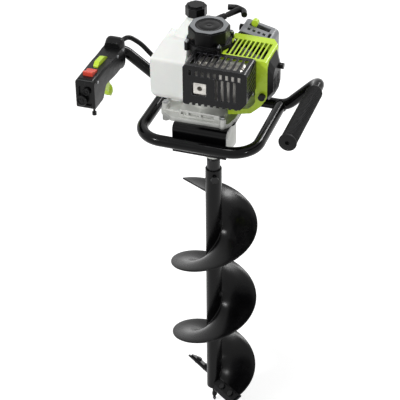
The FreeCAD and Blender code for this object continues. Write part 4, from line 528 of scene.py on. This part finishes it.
class AUGER_OT_starter(bpy.types.Operator):
    """Ring and bare disc on the starter, and the cord to its handle.

    The ring's outer edge is a regular octagon, half width / cos(angle from the nearest flat), and its
    inner edge a circle. The disc is a profile turned about the crank's axis. The cord is a straight tube
    that stretches between its exit and the handle."""
    bl_idname = "auger.starter"
    bl_label = "Recoil starter"

    def execute(self, context):
        low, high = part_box("starter_reel")
        centre = ((low.x + high.x) / 2, (low.y + high.y) / 2)
        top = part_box("starter_housing")[1].z
        flat = context.scene.auger_sizes.starter_flat / 2
        bore = context.scene.auger_sizes.starter_disc / 2
        angle = np.linspace(0, 2 * math.pi, 192, endpoint=False)
        fold = (angle + math.pi / 8) % (math.pi / 4) - math.pi / 8
        octagon = np.minimum(flat / np.cos(fold), flat * 1.062)
        rows = []
        for edge, more, rise in (
                (bore, 0.0006, -0.0012), (bore, 0.0006, 0.0002), (bore, 0.0012, 0.0007),
                (octagon, -0.0016, 0.0007), (octagon, -0.0007, 0.0003), (octagon, -0.0003, -0.0008),
                (octagon, -0.0003, -0.0022), (bore, 0.0006, -0.0022)):
            rows.append(np.stack([
                centre[0] + (edge + more) * np.cos(angle), centre[1] + (edge + more) * np.sin(angle),
                np.full(len(angle), top + rise)], axis=-1))
        grid_piece("starter_top_ring", np.stack(rows), "light_plastic", "frame", around=True, along=True)
        disc = [(0, -0.0004), (0.0050, -0.0004), (0.0056, -0.0007), (0.0064, -0.0007),
                (0.0070, -0.0004), (0.0225, -0.0004), (0.0231, -0.0008), (0.0243, -0.0008),
                (0.0249, -0.0004), (0.0284, -0.0004), (0.0290, -0.0010), (0.0290, -0.0018), (0, -0.0018)]
        points = revolve(disc, (*centre, top), (0, 0, 1), 96)
        grid_piece("starter_disc", points, "black_plastic", "frame", around=True)
        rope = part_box("starter_rope")
        thick = (rope[1].z - rope[0].z) / 2
        pull = np.array([math.cos(math.radians(PULL_ANGLE)), math.sin(math.radians(PULL_ANGLE)), 0])
        drop = thick * np.array([pull[1], pull[0]])
        begin = np.array([rope[0].x + drop[0], rope[0].y + drop[1], rope[0].z + thick])
        finish = np.array([rope[1].x - drop[0], rope[1].y - drop[1], rope[0].z + thick])
        path = begin + np.linspace(0, 1, 60)[:, None] * (finish - begin)
        cord = grid_piece("starter_cord", tube_points(path, thick, 16), "rope_fibre", None,
                          around=True, caps=True)
        layer = cord.data.uv_layers.new(name="UVMap")
        along = np.array([(v.co - Vector(begin)).length for v in cord.data.vertices])
        corner_vertex = np.zeros(len(cord.data.loops), int)
        cord.data.loops.foreach_get("vertex_index", corner_vertex)
        unrolled = np.stack([along[corner_vertex] / (2 * thick), np.zeros(len(corner_vertex))], 1)
        layer.data.foreach_set("uv", unrolled.ravel())
        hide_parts("starter_rope")
        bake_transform(cord)
        return {"FINISHED"}


class AUGER_OT_control(bpy.types.Operator):
    """Rear flange and front bosses of the control handle, and the finger pad of its trigger.

    The flange is a superellipse (power 0.42 of sine and cosine) whose size changes along the tube. The
    bosses are turned profiles. The pad is a tube whose radius swells with a smooth step and closes as a
    quarter circle."""
    bl_idname = "auger.control"
    bl_label = "Control handle trims"

    def execute(self, context):
        low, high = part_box("control_handle_outer")
        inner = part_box("control_handle_inner")
        middle = (min(low.x, inner[0].x) + max(high.x, inner[1].x)) / 2
        half = (max(high.x, inner[1].x) - min(low.x, inner[0].x)) / 2
        front, rear = low.y, high.y
        flange_height, flange_half = 0.8885, 0.0385
        angle = np.linspace(0, 2 * math.pi, 96, endpoint=False)
        corner = 0.42
        wide = np.sign(np.cos(angle)) * np.abs(np.cos(angle)) ** corner
        tall = np.sign(np.sin(angle)) * np.abs(np.sin(angle)) ** corner
        rows = []
        for along, grow in ((-0.021, 0.86), (-0.019, 0.90), (-0.012, 0.93), (-0.008, 0.985),
                            (-0.006, 1.0), (0.0, 1.0), (0.003, 0.98), (0.0045, 0.93), (0.0045, 0.30),
                            (0.0, 0.28)):
            rows.append(np.stack([
                middle + wide * half * grow, np.full(len(angle), rear + along),
                flange_height + tall * flange_half * grow], axis=-1))
        grid_piece("control_rear_flange", np.stack(rows), "black_plastic", "frame", around=True,
                   caps=True)
        for name, x, z, size in (("front_boss_low", -0.008, 0.864, 0.0125),
                                 ("front_boss_high", 0.004, 0.888, 0.0085)):
            profile = [(0, -0.0050), (size * 0.30, -0.0050), (size * 0.38, -0.0030),
                       (size * 0.62, -0.0030), (size * 0.70, -0.0055), (size * 0.88, -0.0055),
                       (size, -0.0040), (size, 0.0040), (0, 0.0040)]
            points = revolve(profile, (middle + x, front, z), (0, 1, 0), 64)
            grid_piece(name, points, "black_plastic", "frame", around=True)
        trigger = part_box("throttle_trigger")
        axis = (trigger[0].x + trigger[1].x) / 2
        step = np.linspace(0, 1, 40)
        path = np.stack([np.full(40, axis), 0.035 + 0.009 * step, 0.845 - 0.037 * step], axis=-1)
        swell = np.clip((step - 0.15) / 0.4, 0, 1)
        radius = 0.0062 + 0.0050 * swell * swell * (3 - 2 * swell)
        radius *= np.sqrt(np.clip(1 - np.clip((step - 0.70) / 0.30, 0, 1) ** 2, 0.0004, 1))
        points = tube_points(path, radius, 40, up=(1, 0, 0))
        grid_piece("trigger_finger_pad", points, "lime_plastic", "trigger", around=True, caps=True)
        return {"FINISHED"}


def mixed_white(tree, dim):
    """Factor that is 1 for camera, glossy and transmission rays and dim for the rest."""
    path = add(tree, "ShaderNodeLightPath")
    first = add(tree, "ShaderNodeMath",
                [(0, path.outputs["Is Camera Ray"]), (1, path.outputs["Is Glossy Ray"])],
                operation="MAXIMUM")
    seen = add(tree, "ShaderNodeMath",
               [(0, first.outputs["Value"]), (1, path.outputs["Is Transmission Ray"])],
               operation="MAXIMUM")
    span = add(tree, "ShaderNodeMapRange", [("Value", seen.outputs["Value"])],
               i1=0.0, i2=1.0, i3=dim, i4=1.0)
    return seen.outputs["Value"], span.outputs["Result"]


class AUGER_OT_stage(bpy.types.Operator):
    """Pale floor, soft studio lamps and a white surround"""
    bl_idname = "auger.stage"
    bl_label = "Stage"

    def execute(self, context):
        scene = context.scene
        scene.view_settings.view_transform = "Standard"
        world = bpy.data.worlds.new("studio_white")
        scene.world = world
        world.use_nodes = True
        tree = world.node_tree
        tree.nodes.clear()
        strength = mixed_white(tree, SKY_ON_SURFACES)[1]
        sky = add(tree, "ShaderNodeBackground", [("Strength", strength)])
        sky.inputs["Color"].default_value = (1, 1, 1, 1)
        add(tree, "ShaderNodeOutputWorld", [("Surface", sky.outputs["Background"])])
        mesh = bpy.data.meshes.new("studio_floor")
        corners = [(x * PAPER_HALF, y * PAPER_HALF, 0) for x, y in ((-1, -1), (1, -1), (1, 1), (-1, 1))]
        mesh.from_pydata(corners, [], [(0, 1, 2, 3)])
        floor = bpy.data.objects.new("studio_floor", mesh)
        floor.location.z = -0.0005
        scene.collection.objects.link(floor)
        paint = bpy.data.materials.new("matte_studio_paper")
        paint.use_nodes = True
        tree = paint.node_tree
        tree.nodes.clear()
        seen = mixed_white(tree, 0.0)[0]
        matte = add(tree, "ShaderNodeBsdfDiffuse", Roughness=0.5)
        matte.inputs["Color"].default_value = (0.80, 0.80, 0.80, 1)
        glow = add(tree, "ShaderNodeEmission", Strength=PAPER_GLOW)
        both = add(tree, "ShaderNodeAddShader",
                   [(0, matte.outputs["BSDF"]), (1, glow.outputs["Emission"])])
        pick = add(tree, "ShaderNodeMixShader", [(0, seen), (1, matte.outputs["BSDF"]),
                                                 (2, both.outputs["Shader"])])
        add(tree, "ShaderNodeOutputMaterial", [("Surface", pick.outputs["Shader"])])
        mesh.materials.append(paint)
        for name, spot, width, power in LAMPS:
            data = bpy.data.lights.new(name, "AREA")
            data.size = width
            data.energy = power
            lamp = bpy.data.objects.new(name, data)
            lamp.location = spot
            lamp.rotation_euler = (LAMP_AIM - Vector(spot)).to_track_quat("-Z", "Y").to_euler()
            scene.collection.objects.link(lamp)
        return {"FINISHED"}


class AUGER_PT_panel(bpy.types.Panel):
    """Lists the auger's operators and values"""
    bl_idname = "AUGER_PT_panel"
    bl_label = "Ground auger"
    bl_space_type = "VIEW_3D"
    bl_region_type = "UI"
    bl_category = "Auger"

    def draw(self, context):
        for group in (context.scene.auger_sizes, context.scene.auger_colours):
            for key in group.__annotations__:
                self.layout.prop(group, key)
        for operator in OPERATORS:
            self.layout.operator(operator.bl_idname)


OPERATORS = (
    AUGER_OT_camera, AUGER_OT_finishes, AUGER_OT_flight, AUGER_OT_grip, AUGER_OT_welds,
    AUGER_OT_starter, AUGER_OT_control, AUGER_OT_stage,
)
CLASSES = (AugerSizes, AugerColours) + OPERATORS + (AUGER_PT_panel,)


def register():
    for item in CLASSES:
        bpy.utils.register_class(item)
    bpy.types.Scene.auger_sizes = PointerProperty(type=AugerSizes)
    bpy.types.Scene.auger_colours = PointerProperty(type=AugerColours)


def unregister():
    del bpy.types.Scene.auger_colours
    del bpy.types.Scene.auger_sizes
    for item in reversed(CLASSES):
        bpy.utils.unregister_class(item)


def main():
    register()
    for operator in OPERATORS:
        group, name = operator.bl_idname.split(".")
        getattr(getattr(bpy.ops, group), name)()


if __name__ == "__main__":
    main()
